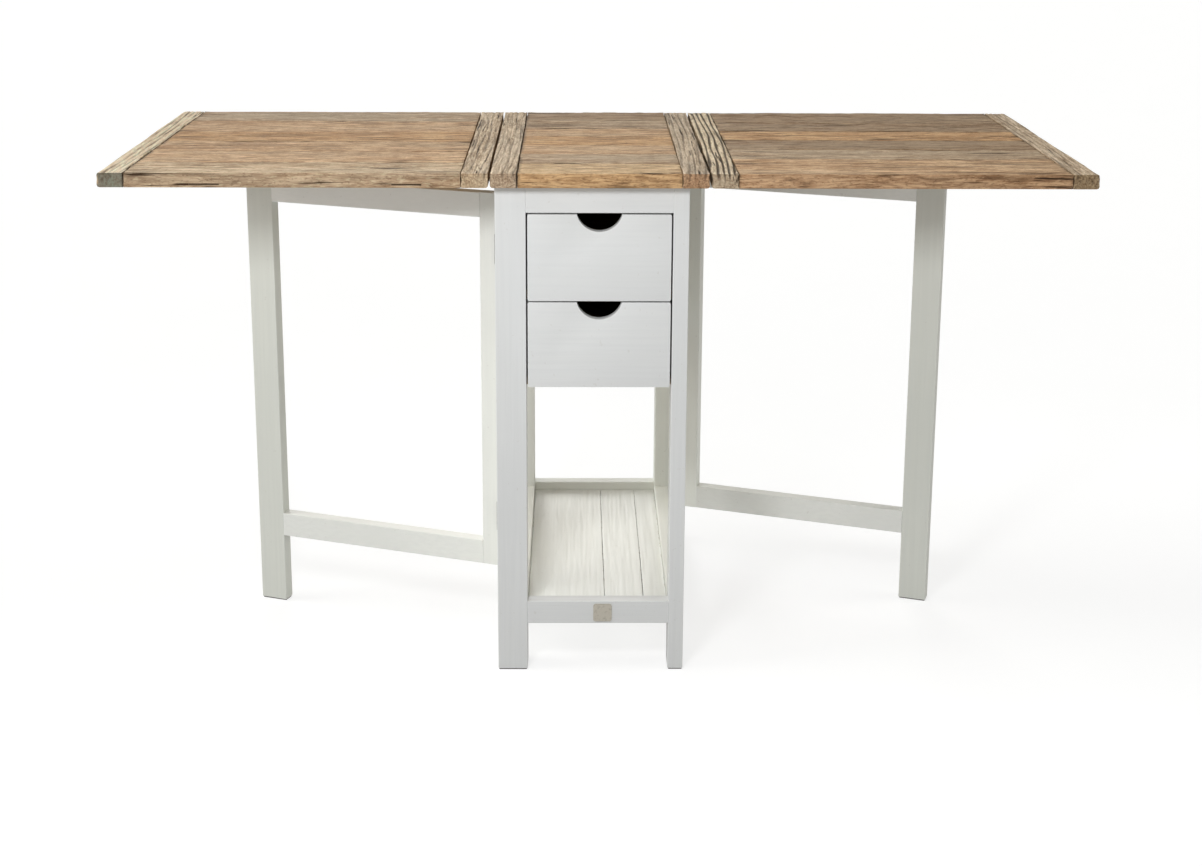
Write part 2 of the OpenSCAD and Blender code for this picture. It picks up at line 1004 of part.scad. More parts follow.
// Two sides and the back between them
module drawer_box(low) {
    start = drawer_front_t - frame_y;
    back_low = drawer_bottom_z + drawer_bottom_t + bottom_gap / 2;
    joint_gap = bottom_gap / 2;
    for (side = [0, 1])
        mirror([side, 0, 0])
            difference() {
                translate([-drawer_x, start, low + box_low])
                    cube([drawer_side_t, drawer_end - start, box_h]);
                bottom_groove(low);
            }
    translate([drawer_side_t + joint_gap - drawer_x, drawer_end - drawer_back_t, low + box_low + back_low])
        cube([2 * (drawer_x - drawer_side_t - joint_gap), drawer_back_t, box_h - back_low - back_drop]);
}

module drawer_bottom(low) {
    start = drawer_front_t - drawer_groove + bottom_gap - frame_y;
    translate([-bottom_x, start, low + box_low + drawer_bottom_z])
        cube([2 * bottom_x, drawer_end - start, drawer_bottom_t]);
}

module drawer_upper_front() {
    color(PAINT)
        drawer_front(front_low[0]);
}

module drawer_upper_box() {
    color(RAW)
        drawer_box(front_low[0]);
}

module drawer_upper_bottom() {
    color(RAW)
        drawer_bottom(front_low[0]);
}

module drawer_lower_front() {
    color(PAINT)
        drawer_front(front_low[1]);
}

module drawer_lower_box() {
    color(RAW)
        drawer_box(front_low[1]);
}

module drawer_lower_bottom() {
    color(RAW)
        drawer_bottom(front_low[1]);
}

leg_front_left();
leg_front_right();
leg_back_left();
leg_back_right();
frame_foot_pads();
top_rail_front();
top_rail_back();
top_rail_left();
top_rail_right();
bottom_rail_front();
bottom_rail_back();
bottom_rail_left();
bottom_rail_right();
hinge_post_left();
hinge_post_right();
case_side_panels();
case_back_panel();
drawer_runners();
drawer_stops();
shelf_bearers();
shelf_planks();
front_plate();
plate_pins();
centre_planks();
centre_batten_left();
centre_batten_right();
top_brackets();
frame_screws();
flap_hinge_leaves();
flap_hinge_pins();
gate_hinge_leaves();
gate_hinge_pins();
left_leaf_planks();
left_leaf_inner_batten();
left_leaf_outer_batten();
left_leaf_stop_block();
left_leaf_hinges();
right_leaf_planks();
right_leaf_inner_batten();
right_leaf_outer_batten();
right_leaf_stop_block();
right_leaf_hinges();
left_gate_leg();
left_gate_stile();
left_gate_top_rail();
left_gate_bottom_rail();
left_gate_foot_pad();
left_gate_hinges();
right_gate_leg();
right_gate_stile();
right_gate_top_rail();
right_gate_bottom_rail();
right_gate_foot_pad();
right_gate_hinges();
drawer_upper_front();
drawer_upper_box();
drawer_upper_bottom();
drawer_lower_front();
drawer_lower_box();
drawer_lower_bottom();
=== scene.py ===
"""Dresses the folding bar table: a worn plank top on a white painted frame, in a pale studio."""

from __future__ import annotations

import logging
import math
import random
from dataclasses import dataclass, field, replace
from enum import Enum
from typing import Any, Callable, Iterable

import bmesh  # noqa: E402
import bpy  # noqa: E402
from mathutils import Matrix, Vector, noise  # noqa: E402

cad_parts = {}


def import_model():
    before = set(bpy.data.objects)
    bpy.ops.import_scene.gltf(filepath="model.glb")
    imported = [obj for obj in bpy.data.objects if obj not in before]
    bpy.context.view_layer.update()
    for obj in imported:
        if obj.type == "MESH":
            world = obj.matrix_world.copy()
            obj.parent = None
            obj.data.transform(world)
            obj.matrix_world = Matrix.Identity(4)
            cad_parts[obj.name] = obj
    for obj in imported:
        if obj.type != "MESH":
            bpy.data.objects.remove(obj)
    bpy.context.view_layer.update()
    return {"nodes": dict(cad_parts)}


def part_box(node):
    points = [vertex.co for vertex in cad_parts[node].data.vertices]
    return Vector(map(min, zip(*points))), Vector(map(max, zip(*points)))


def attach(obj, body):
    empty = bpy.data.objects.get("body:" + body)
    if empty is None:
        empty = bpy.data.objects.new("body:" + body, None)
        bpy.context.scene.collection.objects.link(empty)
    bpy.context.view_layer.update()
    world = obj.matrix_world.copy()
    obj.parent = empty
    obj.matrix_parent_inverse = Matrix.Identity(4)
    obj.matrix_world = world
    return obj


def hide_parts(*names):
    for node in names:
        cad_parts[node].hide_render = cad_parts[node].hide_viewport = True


LOG = logging.getLogger("bar_table")
MM = 0.001
Socket = bpy.types.NodeSocket
Colour = tuple[float, float, float]


class Grain(Enum):
    """Direction in which a piece's wood grain or brush strokes run."""

    X = 0
    Y = 1
    Z = 2


class Mark(Enum):
    """Kind of worn mark, with its texture, its stretch along the grain and the part that it wears."""

    DENTS = ("dents", 5.0, "face")
    GROOVES = ("grooves", 30.0, "face")
    ROWS = ("rows", 9.0, "face")
    CHIPS = ("chips", 2.5, "edge")


def stretched(run: Grain, across: float, along: float) -> tuple[float, float, float]:
    """Gives a pattern's scale along each axis from those across and along its grain."""
    x, y, z = (along if axis == run.value else across for axis in range(3))
    return x, y, z


def portions(shares: Iterable[int], low: float, high: float, gap: float) -> list[tuple[float, float]]:
    """Splits a stretch into parts.

    Args:
        shares: The parts' widths, in parts of the whole.
        low: Where the stretch starts.
        high: Where it ends.
        gap: What each part leaves free at a joint.

    Returns:
        The start and end of each part.
    """
    widths = list(shares)
    at = low
    made = []
    for index, width in enumerate(widths):
        after = at + (high - low) * width / sum(widths)
        made.append((at + (gap if index else 0.0), after - (gap if index < len(widths) - 1 else 0.0)))
        at = after
    return made


def scaled(colour: Colour, factor: float, limit: float = 1.0) -> Colour:
    """Multiplies each part of a colour by a factor, up to a limit."""
    red, green, blue = (min(limit, part * factor) for part in colour)
    return red, green, blue


class Graph:
    """Short way to add and join shader nodes in one node tree."""

    def __init__(self, tree: bpy.types.NodeTree) -> None:
        """Starts with a material's or a group's tree."""
        self.tree = tree

    def node(self, kind: str, inputs: dict[Any, Any] | None = None, **settings: Any) -> bpy.types.Node:
        """Adds a node.

        Args:
            kind: The node's type name without its ShaderNode prefix.
            inputs: Socket name or index, to a value or a socket to link from.
            settings: Properties of the node.

        Returns:
            The new node.
        """
        new = self.tree.nodes.new("ShaderNode" + kind)
        for key, value in settings.items():
            setattr(new, key, value)
        for key, value in (inputs or {}).items():
            if isinstance(value, bpy.types.NodeSocket):
                self.tree.links.new(value, new.inputs[key])
            else:
                new.inputs[key].default_value = value
        return new

    def math(self, operation: str, *values: Any) -> Socket:
        """Works with numbers or sockets and gives the result's socket."""
        return self.node("Math", dict(enumerate(values)), operation=operation).outputs[0]

    def times(self, factor: float, value: Socket) -> Socket:
        """Multiplies a value by a number."""
        return self.math("MULTIPLY", value, factor)

    def blend(self, factor: Any, first: Any, second: Any, mode: str = "MIX") -> Socket:
        """Mixes two colours.

        Args:
            factor: Share of the second colour.
            first: The first colour or socket.
            second: The second colour or socket.
            mode: The blend type.

        Returns:
            The mixed colour's socket.
        """
        new = self.node("Mix", data_type="RGBA", blend_type=mode)
        for index, value in ((0, factor), (6, first), (7, second)):
            if isinstance(value, bpy.types.NodeSocket):
                self.tree.links.new(value, new.inputs[index])
            elif index:
                new.inputs[index].default_value = (*value, 1.0)
            else:
                new.inputs[index].default_value = value
        return new.outputs[2]

    def span(self, value: Socket, low: float, high: float, start: float = 0.0, end: float = 1.0) -> Socket:
        """Maps the range from low to high to that from start to end, held at its ends."""
        return self.node("MapRange", {"Value": value, "From Min": low, "From Max": high, "To Min": start,
                                      "To Max": end}).outputs[0]

    def ramp(self, value: Socket, stops: list[tuple[float, Colour]]) -> Socket:
        """Turns a value into a colour.

        Args:
            value: The value's socket.
            stops: Positions and colours.

        Returns:
            The colour's socket.
        """
        new = self.node("ValToRGB", {0: value})
        stairs = new.color_ramp.elements
        while len(stairs) < len(stops):
            stairs.new(0.5)
        for stair, (place, colour) in zip(stairs, stops):
            stair.position = place
            stair.color = (*colour, 1.0)
        return new.outputs[0]

    def place(self, vector: Socket, scale: tuple[float, float, float],
              shift: tuple[float, float, float] = (0.0, 0.0, 0.0),
              turn: tuple[float, float, float] = (0.0, 0.0, 0.0)) -> Socket:
        """Scales coordinates, turns them by angles in radians and shifts them."""
        return self.node("Mapping", {"Vector": vector, "Scale": scale, "Location": shift,
                                     "Rotation": turn}).outputs[0]

    def noise(self, vector: Socket, scale: float, detail: float = 4.0, rough: float = 0.55,
              warp: float = 0.0) -> Socket:
        """Gives the value of a noise pattern, from 0 to 1."""
        return self.node("TexNoise", {"Vector": vector, "Scale": scale, "Detail": detail, "Roughness": rough,
                                      "Distortion": warp}).outputs[0]

    def worn(self, vector: Socket, radius: float, grit: float, amount: float) -> bpy.types.Node:
        """Adds the shared masks of worn edges."""
        return self.node("Group", {"Vector": vector, "Radius": radius, "Grit": grit, "Amount": amount},
                         node_tree=bpy.data.node_groups["worn_edges"])

    def coat(self, shader: bpy.types.Node, shade: Socket, rough: Socket, high: Socket, strength: float,
             depth: float) -> None:
        """Gives a shader its colour, roughness and bumps.

        Args:
            shader: The material's shader.
            shade: Its colour.
            rough: Its roughness.
            high: The height that makes its bumps.
            strength: Their strength.
            depth: Their depth in metres.
        """
        bump = self.node("Bump", {"Height": high, "Strength": strength, "Distance": depth}).outputs[0]
        for label, value in (("Base Color", shade), ("Roughness", rough), ("Normal", bump)):
            self.tree.links.new(value, shader.inputs[label])


def group(name: str, inputs: Iterable[tuple[str, str, Any]], outputs: Iterable[tuple[str, str]]
          ) -> tuple[bpy.types.NodeTree, Graph, bpy.types.Node, bpy.types.Node]:
    """Makes an empty shader node group.

    Args:
        name: The group's name.
        inputs: Name, socket kind and first value of each input.
        outputs: Name and socket kind of each output.

    Returns:
        The group, a graph on it, and its input and output nodes.
    """
    tree = bpy.data.node_groups.new(name, "ShaderNodeTree")
    for label, kind, value in inputs:
        made = tree.interface.new_socket(label, in_out="INPUT", socket_type="NodeSocket" + kind)
        if value is not None:
            made.default_value = value
    for label, kind in outputs:
        tree.interface.new_socket(label, in_out="OUTPUT", socket_type="NodeSocket" + kind)
    return tree, Graph(tree), tree.nodes.new("NodeGroupInput"), tree.nodes.new("NodeGroupOutput")


def fibre_group() -> bpy.types.NodeTree:
    """Makes the grain of weathered wood that runs along X.

    Returns:
        A group with masks for fibres, rings, tone, cracks and knots, and a height.
    """
    tree, g, take, give = group(
        "wood_fibres",
        [("Vector", "Vector", None), ("Wave", "Float", 0.012), ("Rings", "Float", 18.0),
         ("Cracks", "Float", 0.5)],
        [("Fibre", "Float"), ("Ring", "Float"), ("Tone", "Float"), ("Crack", "Float"), ("Knot", "Float"),
         ("Height", "Float")])
    at = take.outputs["Vector"]
    slow = g.node("TexNoise", {"Vector": g.place(at, (2.6, 8.0, 8.0)), "Scale": 1.0, "Detail": 2.0})
    centred = g.node("VectorMath", {0: slow.outputs["Color"], 1: (0.5, 0.5, 0.5)}, operation="SUBTRACT")
    push = g.node("VectorMath", {0: centred.outputs[0], "Scale": take.outputs["Wave"]}, operation="SCALE")
    bent = g.node("VectorMath", {0: at, 1: push.outputs[0]}, operation="ADD").outputs[0]
    spots = g.node("TexVoronoi", {"Vector": g.place(bent, (2.1, 6.5, 6.5)), "Scale": 1.0}, feature="F1")
    knot = g.span(spots.outputs["Distance"], 0.085, 0.03)
    around = g.span(spots.outputs["Distance"], 0.32, 0.02, 0.0, 0.16)
    fine = g.noise(g.place(bent, (34.0, 330.0, 330.0)), 1.0, 4.0, 0.62)
    middle = g.noise(g.place(bent, (15.0, 98.0, 98.0)), 1.0, 5.0, 0.66)
    fibre = g.math("ADD", g.times(0.42, fine), g.times(0.58, middle))
    tone = g.noise(g.place(bent, (2.0, 15.0, 15.0)), 1.0, 4.0, 0.55, 0.3)
    swell = g.noise(g.place(bent, (0.9, 13.0, 13.0), (1.3, 0.4, 2.2)), 1.0, 3.0, 0.5)
    layer = g.math("MULTIPLY", g.math("ADD", swell, around), take.outputs["Rings"])
    ring = g.span(g.math("PINGPONG", layer, 0.5), 0.0, 0.20, 1.0, 0.0)
    ring = g.math("MULTIPLY", ring, g.span(middle, 0.36, 0.56))
    split = g.noise(g.place(bent, (6.0, 170.0, 170.0), (0.7, 3.1, 1.7)), 1.0, 3.0, 0.45)
    near = g.span(g.noise(g.place(at, (2.2, 9.0, 9.0), (4.0, 1.0, 2.0)), 1.0, 2.0), 0.45, 0.66)
    limit = g.math("MULTIPLY", take.outputs["Cracks"], near)
    crack = g.span(g.math("ADD", split, g.times(0.14, limit)), 0.675, 0.715)
    high = g.math("SUBTRACT", fibre, g.times(0.45, g.span(fine, 0.32, 0.52, 1.0, 0.0)))
    high = g.math("SUBTRACT", high, g.times(1.4, crack))
    high = g.math("SUBTRACT", high, g.times(0.45, ring))
    for label, value in (("Fibre", fibre), ("Ring", ring), ("Tone", tone), ("Crack", crack), ("Knot", knot),
                         ("Height", high)):
        tree.links.new(value, give.inputs[label])
    return tree


def edge_group() -> bpy.types.NodeTree:
    """Makes a mask of a piece's edges, broken up as by wear.

    Returns:
        A group that takes a radius and coordinates and gives a clean and a broken mask.
    """
    tree, g, take, give = group(
        "worn_edges",
        [("Vector", "Vector", None), ("Radius", "Float", 0.003), ("Grit", "Float", 60.0),
         ("Amount", "Float", 0.5)],
        [("Edge", "Float"), ("Wear", "Float")])
    soft = g.node("Bevel", {"Radius": take.outputs["Radius"]}, samples=6)
    face = g.node("NewGeometry")
    same = g.node("VectorMath", {0: soft.outputs[0], 1: face.outputs["Normal"]}, operation="DOT_PRODUCT")
    edge = g.span(same.outputs["Value"], 0.995, 0.86)
    grit = g.node("TexNoise", {"Vector": take.outputs["Vector"], "Scale": take.outputs["Grit"], "Detail": 4.0,
                               "Roughness": 0.65})
    start = g.math("SUBTRACT", 0.78, g.times(0.5, take.outputs["Amount"]))
    wear = g.math("MULTIPLY", edge, g.node("MapRange", {
        "Value": grit.outputs[0], "From Min": start, "From Max": g.math("ADD", start, 0.06)}).outputs[0])
    tree.links.new(edge, give.inputs["Edge"])
    tree.links.new(wear, give.inputs["Wear"])
    return tree


@dataclass(frozen=True)
class PaintedWood:
    """Brushed white paint on wood, with thin wear and a painted highlight at the edges.

    Attributes:
        colour: The paint.
        under: The wood that shows where the paint has worn through.
        rim: Painted highlight, a lighter paint along the edges in place of the light that their rounding
            catches.
        speck: Specks of dirt.
        joint: Dirt in the joints.
        gloss: Roughness of clean paint.
        wear: How much of the edges has worn through, from 0 to 1.
    """

    colour: Colour = (0.70, 0.705, 0.70)
    under: Colour = (0.50, 0.45, 0.38)
    rim: Colour = (0.93, 0.935, 0.93)
    speck: Colour = (0.48, 0.45, 0.40)
    joint: Colour = (0.42, 0.39, 0.33)
    gloss: float = 0.42
    wear: float = 0.32

    def material(self, name: str, run: Grain, seed: float) -> bpy.types.Material:
        """Builds the paint with its brush strokes along one axis.

        Args:
            name: The material's name.
            run: Direction of the strokes.
            seed: Offset of the patterns.

        Returns:
            The material.
        """
        made, g, shader = new_material(name)
        at = g.node("TexCoord").outputs["Object"]
        start = (seed, seed * 0.7, seed * 1.3)
        stroke = g.noise(g.place(at, stretched(run, 150.0, 4.0), start), 1.0, 4.0, 0.6)
        cloud = g.noise(g.place(at, (1.0, 1.0, 1.0), (seed, 0.0, 0.0)), 5.0, 3.0, 0.5)
        lapped = g.noise(g.place(at, stretched(run, 26.0, 1.6), (seed * 2.0, 1.0, 0.0)), 1.0, 3.0, 0.5)
        worn = g.worn(at, 0.0028, 55.0, self.wear)
        hollow = g.node("Attribute", attribute_name="hollow").outputs["Fac"]
        red, green, blue = self.colour
        warmer = (red * 0.97, green * 0.965, blue * 0.94)
        shade = g.blend(g.span(cloud, 0.3, 0.7), scaled(self.colour, 0.955), self.colour)
        shade = g.blend(g.times(0.35, g.span(lapped, 0.45, 0.75)), shade, warmer)
        shade = g.blend(g.times(0.6, g.span(stroke, 0.42, 0.60)), shade, scaled(self.colour, 0.94))
        speck = g.noise(g.place(at, (1.0, 1.0, 1.0), (seed, 9.0, 0.0)), 120.0, 2.0, 0.5)
        shade = g.blend(g.times(0.25, g.span(speck, 0.70, 0.76)), shade, self.speck)
        # Painted highlight: lighter paint along the edges, for the light that rounded edges catch.
        shade = g.blend(g.times(0.5, worn.outputs["Edge"]), shade, self.rim)
        shade = g.blend(g.times(0.75, worn.outputs["Wear"]), shade, self.under)
        shade = g.blend(g.span(hollow, 0.35, 1.0, 0.0, 0.7), shade, self.joint)
        rough = g.math("ADD", self.gloss, g.times(0.25, g.math("SUBTRACT", stroke, 0.5)))
        rough = g.math("ADD", rough, g.times(0.25, worn.outputs["Wear"]))
        high = g.math("ADD", g.times(0.5, stroke), g.times(1.2, lapped))
        high = g.math("SUBTRACT", high, g.times(0.8, worn.outputs["Wear"]))
        g.coat(shader, shade, rough, high, 0.3, 0.0008)
        return made


@dataclass(frozen=True)
class OldWood:
    """Weathered wood of one board.

    Attributes:
        dark: Its darkest streaks.
        body: Its main colour.
        pale: Its lightest fibres.
        grey: Weathered patches.
        side: What the long side faces are multiplied by.
        end: What the end grain is multiplied by.
        greyness: Strength of the weathered patches.
        rings: How close the growth rings lie.
        ring_depth: How dark the rings are.
        cracks: How many fine cracks there are.
        wave: How far the grain wanders, in metres.
        relief: Depth of the grain, in metres.
        bright: What all colours but the cavity's are multiplied by.
        cavity: Dents, open joints and the painted shade at the back of a notch.
    """

    dark: Colour = (0.12, 0.066, 0.034)
    body: Colour = (0.38, 0.228, 0.122)
    pale: Colour = (0.62, 0.43, 0.262)
    grey: Colour = (0.35, 0.272, 0.188)
    side: Colour = (0.95, 0.86, 0.76)
    end: Colour = (0.70, 0.68, 0.66)
    greyness: float = 0.35
    rings: float = 18.0
    ring_depth: float = 0.45
    cracks: float = 0.5
    wave: float = 0.012
    relief: float = 0.0012
    bright: float = 1.0
    cavity: Colour = (0.060, 0.040, 0.024)

    def material(self, name: str, run: Grain, seed: float) -> bpy.types.Material:
        """Builds the wood with its grain along one axis.

        Args:
            name: The material's name.
            run: Direction of the grain.
            seed: Offset of the patterns.

        Returns:
            The material.
        """
        made, g, shader = new_material(name)
        at = g.node("TexCoord").outputs["Object"]
        turn = (0.0, math.pi / 2 if run is Grain.Z else 0.0, math.pi / 2 if run is Grain.Y else 0.0)
        along = g.place(at, (1.0, 1.0, 1.0), (seed, seed * 0.37, seed * 0.61), turn)
        wood = g.node("Group", {"Vector": along, "Wave": self.wave, "Rings": self.rings,
                                "Cracks": self.cracks}, node_tree=bpy.data.node_groups["wood_fibres"])
        worn = g.worn(at, 0.004, 45.0, 0.55)
        hollow = g.node("Attribute", attribute_name="hollow").outputs["Fac"]
        facing = g.node("SeparateXYZ", {0: g.node("NewGeometry").outputs["Normal"]})
        on_end = g.span(g.math("ABSOLUTE", facing.outputs[run.value]), 0.60, 0.85)
        on_side = g.span(g.math("ABSOLUTE", facing.outputs[1 if run is Grain.X else 0]), 0.60, 0.85)
        tints = (self.pale, self.body, self.dark, self.grey)
        pale, body, dark, grey = (scaled(tint, self.bright, 0.9) for tint in tints)
        streak = g.ramp(wood.outputs["Fibre"], [(0.37, dark), (0.47, body), (0.58, pale)])
        tone = g.span(wood.outputs["Tone"], 0.40, 0.62)
        shade = g.blend(g.times(self.greyness, tone), streak, grey)
        deep = g.span(wood.outputs["Tone"], 0.50, 0.34)
        shade = g.blend(g.times(0.45, deep), shade, g.blend(0.5, body, dark))
        shade = g.blend(g.times(self.ring_depth, wood.outputs["Ring"]), shade, dark)
        speck = g.noise(g.place(at, (150.0, 320.0, 320.0), (seed, 5.0, 0.0)), 1.0, 2.0, 0.5)
        shade = g.blend(g.times(0.4, g.span(speck, 0.57, 0.66)), shade, dark)
        fleck = g.noise(g.place(along, (60.0, 280.0, 280.0), (seed, 1.0, 7.0)), 1.0, 3.0, 0.6)
        shade = g.blend(g.times(0.4, g.span(fleck, 0.55, 0.64)), shade, scaled(pale, 1.2, 0.9))
        shade = g.blend(g.times(0.85, wood.outputs["Knot"]), shade, scaled(dark, 0.4))
        shade = g.blend(g.times(0.35, worn.outputs["Wear"]), shade, pale)
        shade = g.blend(on_side, shade, g.blend(1.0, shade, self.side, "MULTIPLY"))
        shade = g.blend(on_end, shade, g.blend(1.0, shade, self.end, "MULTIPLY"))
        split = g.math("MULTIPLY", wood.outputs["Crack"], g.math("SUBTRACT", 1.0, on_end))
        shade = g.blend(split, shade, scaled(dark, 0.35))
        shade = g.blend(g.span(hollow, 0.28, 0.95, 0.0, 0.92), shade, self.cavity)
        rough = g.span(wood.outputs["Fibre"], 0.3, 0.7, 0.78, 0.58)
        shader.inputs["Specular IOR Level"].default_value = 0.12
        g.coat(shader, shade, rough, wood.outputs["Height"], 0.8, self.relief)
        return made


@dataclass(frozen=True)
class Metal:
    """Brushed or plated metal with dull spots.

    Attributes:
        colour: The clean metal.
        dull: Its tarnished spots and rim.
        gloss: Roughness of the clean metal.
        stain: Strength of the spots.
        rim: Strength of the tarnish along the edges.
    """

    colour: Colour = (0.46, 0.46, 0.45)
    dull: Colour = (0.22, 0.20, 0.18)
    gloss: float = 0.35
    stain: float = 0.6
    rim: float = 0.0

    def material(self, name: str, run: Grain, seed: float) -> bpy.types.Material:
        """Builds the metal with its brush lines along one axis.

        Args:
            name: The material's name.
            run: Direction of the lines.
            seed: Offset of the patterns.

        Returns:
            The material.
        """
        made, g, shader = new_material(name)
        at = g.node("TexCoord").outputs["Object"]
        line = g.noise(g.place(at, stretched(run, 900.0, 30.0), (seed, 0.0, 0.0)), 1.0, 3.0, 0.6)
        spot = g.noise(g.place(at, (1.0, 1.0, 1.0), (seed, 2.0, 0.0)), 160.0, 4.0, 0.65)
        stain = g.span(spot, 0.52, 0.70)
        worn = g.worn(at, 0.0008, 300.0, 0.7)
        shade = g.blend(g.times(self.stain, stain), self.colour, self.dull)
        shade = g.blend(g.times(self.rim, worn.outputs["Edge"]), shade, self.dull)
        shade = g.blend(g.times(0.5, worn.outputs["Wear"]), shade, scaled(self.colour, 1.5))
        g.tree.links.new(g.span(stain, 0.0, 1.0, 1.0, 0.7), shader.inputs["Metallic"])
        rough = g.math("ADD", self.gloss, g.times(0.2, g.math("ADD", line, stain)))
        g.coat(shader, shade, rough, g.math("SUBTRACT", line, stain), 0.15, 0.0002)
        return made


@dataclass(frozen=True)
class FeltPad:
    """Grey felt or nylon under the feet."""

    colour: Colour = (0.20, 0.19, 0.18)

    def material(self, name: str, run: Grain, seed: float) -> bpy.types.Material:
        """Builds the pad's fibres.

        Args:
            name: The material's name.
            run: Direction that shifts the fibres' pattern.
            seed: Offset of the patterns.

        Returns:
            The material.
        """
        made, g, shader = new_material(name)
        at = g.node("TexCoord").outputs["Object"]
        fuzz = g.noise(g.place(at, (1.0, 1.0, 1.0), (seed, run.value, 0.0)), 900.0, 5.0, 0.7)
        shade = g.blend(g.span(fuzz, 0.3, 0.7), scaled(self.colour, 0.7), scaled(self.colour, 1.35))
        g.coat(shader, shade, g.span(fuzz, 0.3, 0.7, 0.95, 0.8), fuzz, 0.6, 0.0005)
        return made


def new_material(name: str) -> tuple[bpy.types.Material, Graph, bpy.types.Node]:
    """Makes a material with its shader ready.

    Args:
        name: The material's name.

    Returns:
        The material, a graph on it and its Principled BSDF.
    """
    made = bpy.data.materials.new(name)
    made.use_nodes = True
    shader = next(n for n in made.node_tree.nodes if n.type == "BSDF_PRINCIPLED")
    return made, Graph(made.node_tree), shader


def dress(piece: bpy.types.Object, finish: bpy.types.Material) -> None:
    """Gives every slot of a piece one material.

    Args:
        piece: The object to dress.
        finish: The material.
    """
    if not piece.material_slots:
        piece.data.materials.append(finish)
    for slot in piece.material_slots:
        slot.material = finish


class Workbench:
    """Shapes pieces from primitives with Blender's own modelling operators."""

    @staticmethod
    def clear() -> None:
        """Deselects everything."""
        bpy.ops.object.select_all(action="DESELECT")

    @staticmethod
    def take(piece: bpy.types.Object) -> None:
        """Makes a piece the active object and the only one selected.

        Args:
            piece: The object.
        """
        Workbench.clear()
        bpy.context.view_layer.objects.active = piece
        piece.select_set(True)

    @staticmethod
    def block(name: str, low: Vector, high: Vector) -> bpy.types.Object:
        """Adds a cube of a size and place, with its object left at the origin.

        Args:
            name: The new object's name.
            low: Its low corner.
            high: Its high corner.

        Returns:
            The new object, active and selected.
        """
        Workbench.clear()
        bpy.ops.mesh.primitive_cube_add(size=1.0, location=(low + high) / 2)
        piece = bpy.context.active_object
        piece.name = piece.data.name = name
        piece.scale = high - low
        bpy.ops.object.transform_apply(location=True, rotation=True, scale=True)
        return piece

    @staticmethod
    def pick(piece: bpy.types.Object, test: Callable[[Any], bool], faces: bool = False) -> None:
        """Selects the edges or faces that pass a test, in edit mode.

        Args:
            piece: The object in edit mode.
            test: Says whether an edge or face is wanted.
            faces: Whether it picks faces.
        """
        mesh = bmesh.from_edit_mesh(piece.data)
        bpy.ops.mesh.select_all(action="DESELECT")
        for part in mesh.faces if faces else mesh.edges:
            if test(part):
                part.select_set(True)
        bmesh.update_edit_mesh(piece.data)

    @staticmethod
    def shift(piece: bpy.types.Object, test: Callable[[bpy.types.MeshVertex], bool],
              value: tuple[float, float, float]) -> None:
        """Moves the vertices that pass a test, in object mode.

        Args:
            piece: The object.
            test: Says which vertices to move.
            value: How far to move them.
        """
        for vertex in piece.data.vertices:
            vertex.select = test(vertex)
        for flat in (*piece.data.edges, *piece.data.polygons):
            flat.select = False
        Workbench.take(piece)
        bpy.ops.object.mode_set(mode="EDIT")
        bpy.ops.mesh.select_mode(type="VERT")
        bpy.ops.transform.translate(value=value)
        bpy.ops.object.mode_set(mode="OBJECT")

    @staticmethod
    def along(axis: int) -> Callable[[bmesh.types.BMEdge], bool]:
        """Gives a test for edges that run along an axis.

        Args:
            axis: 0, 1 or 2.

        Returns:
            The test.
        """
        def test(edge: bmesh.types.BMEdge) -> bool:
            """Says whether an edge runs along the axis."""
            line = edge.verts[1].co - edge.verts[0].co
            return abs(line[axis]) > 0.999 * line.length > 0.0

        return test

    @staticmethod
    def finish_modifiers(piece: bpy.types.Object) -> None:
        """Applies a piece's modifiers in order.

        Args:
            piece: The object.
        """
        Workbench.take(piece)
        for modifier in list(piece.modifiers):
            bpy.ops.object.modifier_apply(modifier=modifier.name)

    @staticmethod
    def smooth(piece: bpy.types.Object, angle: float) -> None:
        """Shades a piece smoothly except over edges sharper than an angle in degrees."""
        Workbench.take(piece)
        bpy.ops.object.shade_smooth_by_angle(angle=math.radians(angle))


@dataclass(frozen=True)
class Wear:
    """How age has shaped a board.

    Attributes:
        edge: Rounding of its edges.
        chip: Depth of the chips along them.
        relief: Depth of the dents and grooves on its face.
        rows: Depth of the rows worn between its growth rings, or 0 for none.
        front_gap: How far its front side has shrunk from the joint.
        front_dirt: Dirt in the joint at its front or left side, from 0 to 1.
        back_dirt: Dirt in the joint at its back or right side.
        end_dirt: Dirt in the joints at its two ends.
        round_side: Side along X where its upright corners are round, -1 or 1, or 0 for none.
        notches: Start and end along X of the notches in its front face.
        holes: Place in X and Y, and radius, of each dent in its face.
    """

    edge: float
    chip: float
    relief: float
    rows: float = 0.0
    front_gap: float = 0.0
    front_dirt: float = 0.25
    back_dirt: float = 0.25
    end_dirt: tuple[float, float] = (0.0, 0.0)
    round_side: int = 0
    notches: tuple[tuple[float, float], ...] = ()
    holes: tuple[tuple[float, float, float], ...] = ()


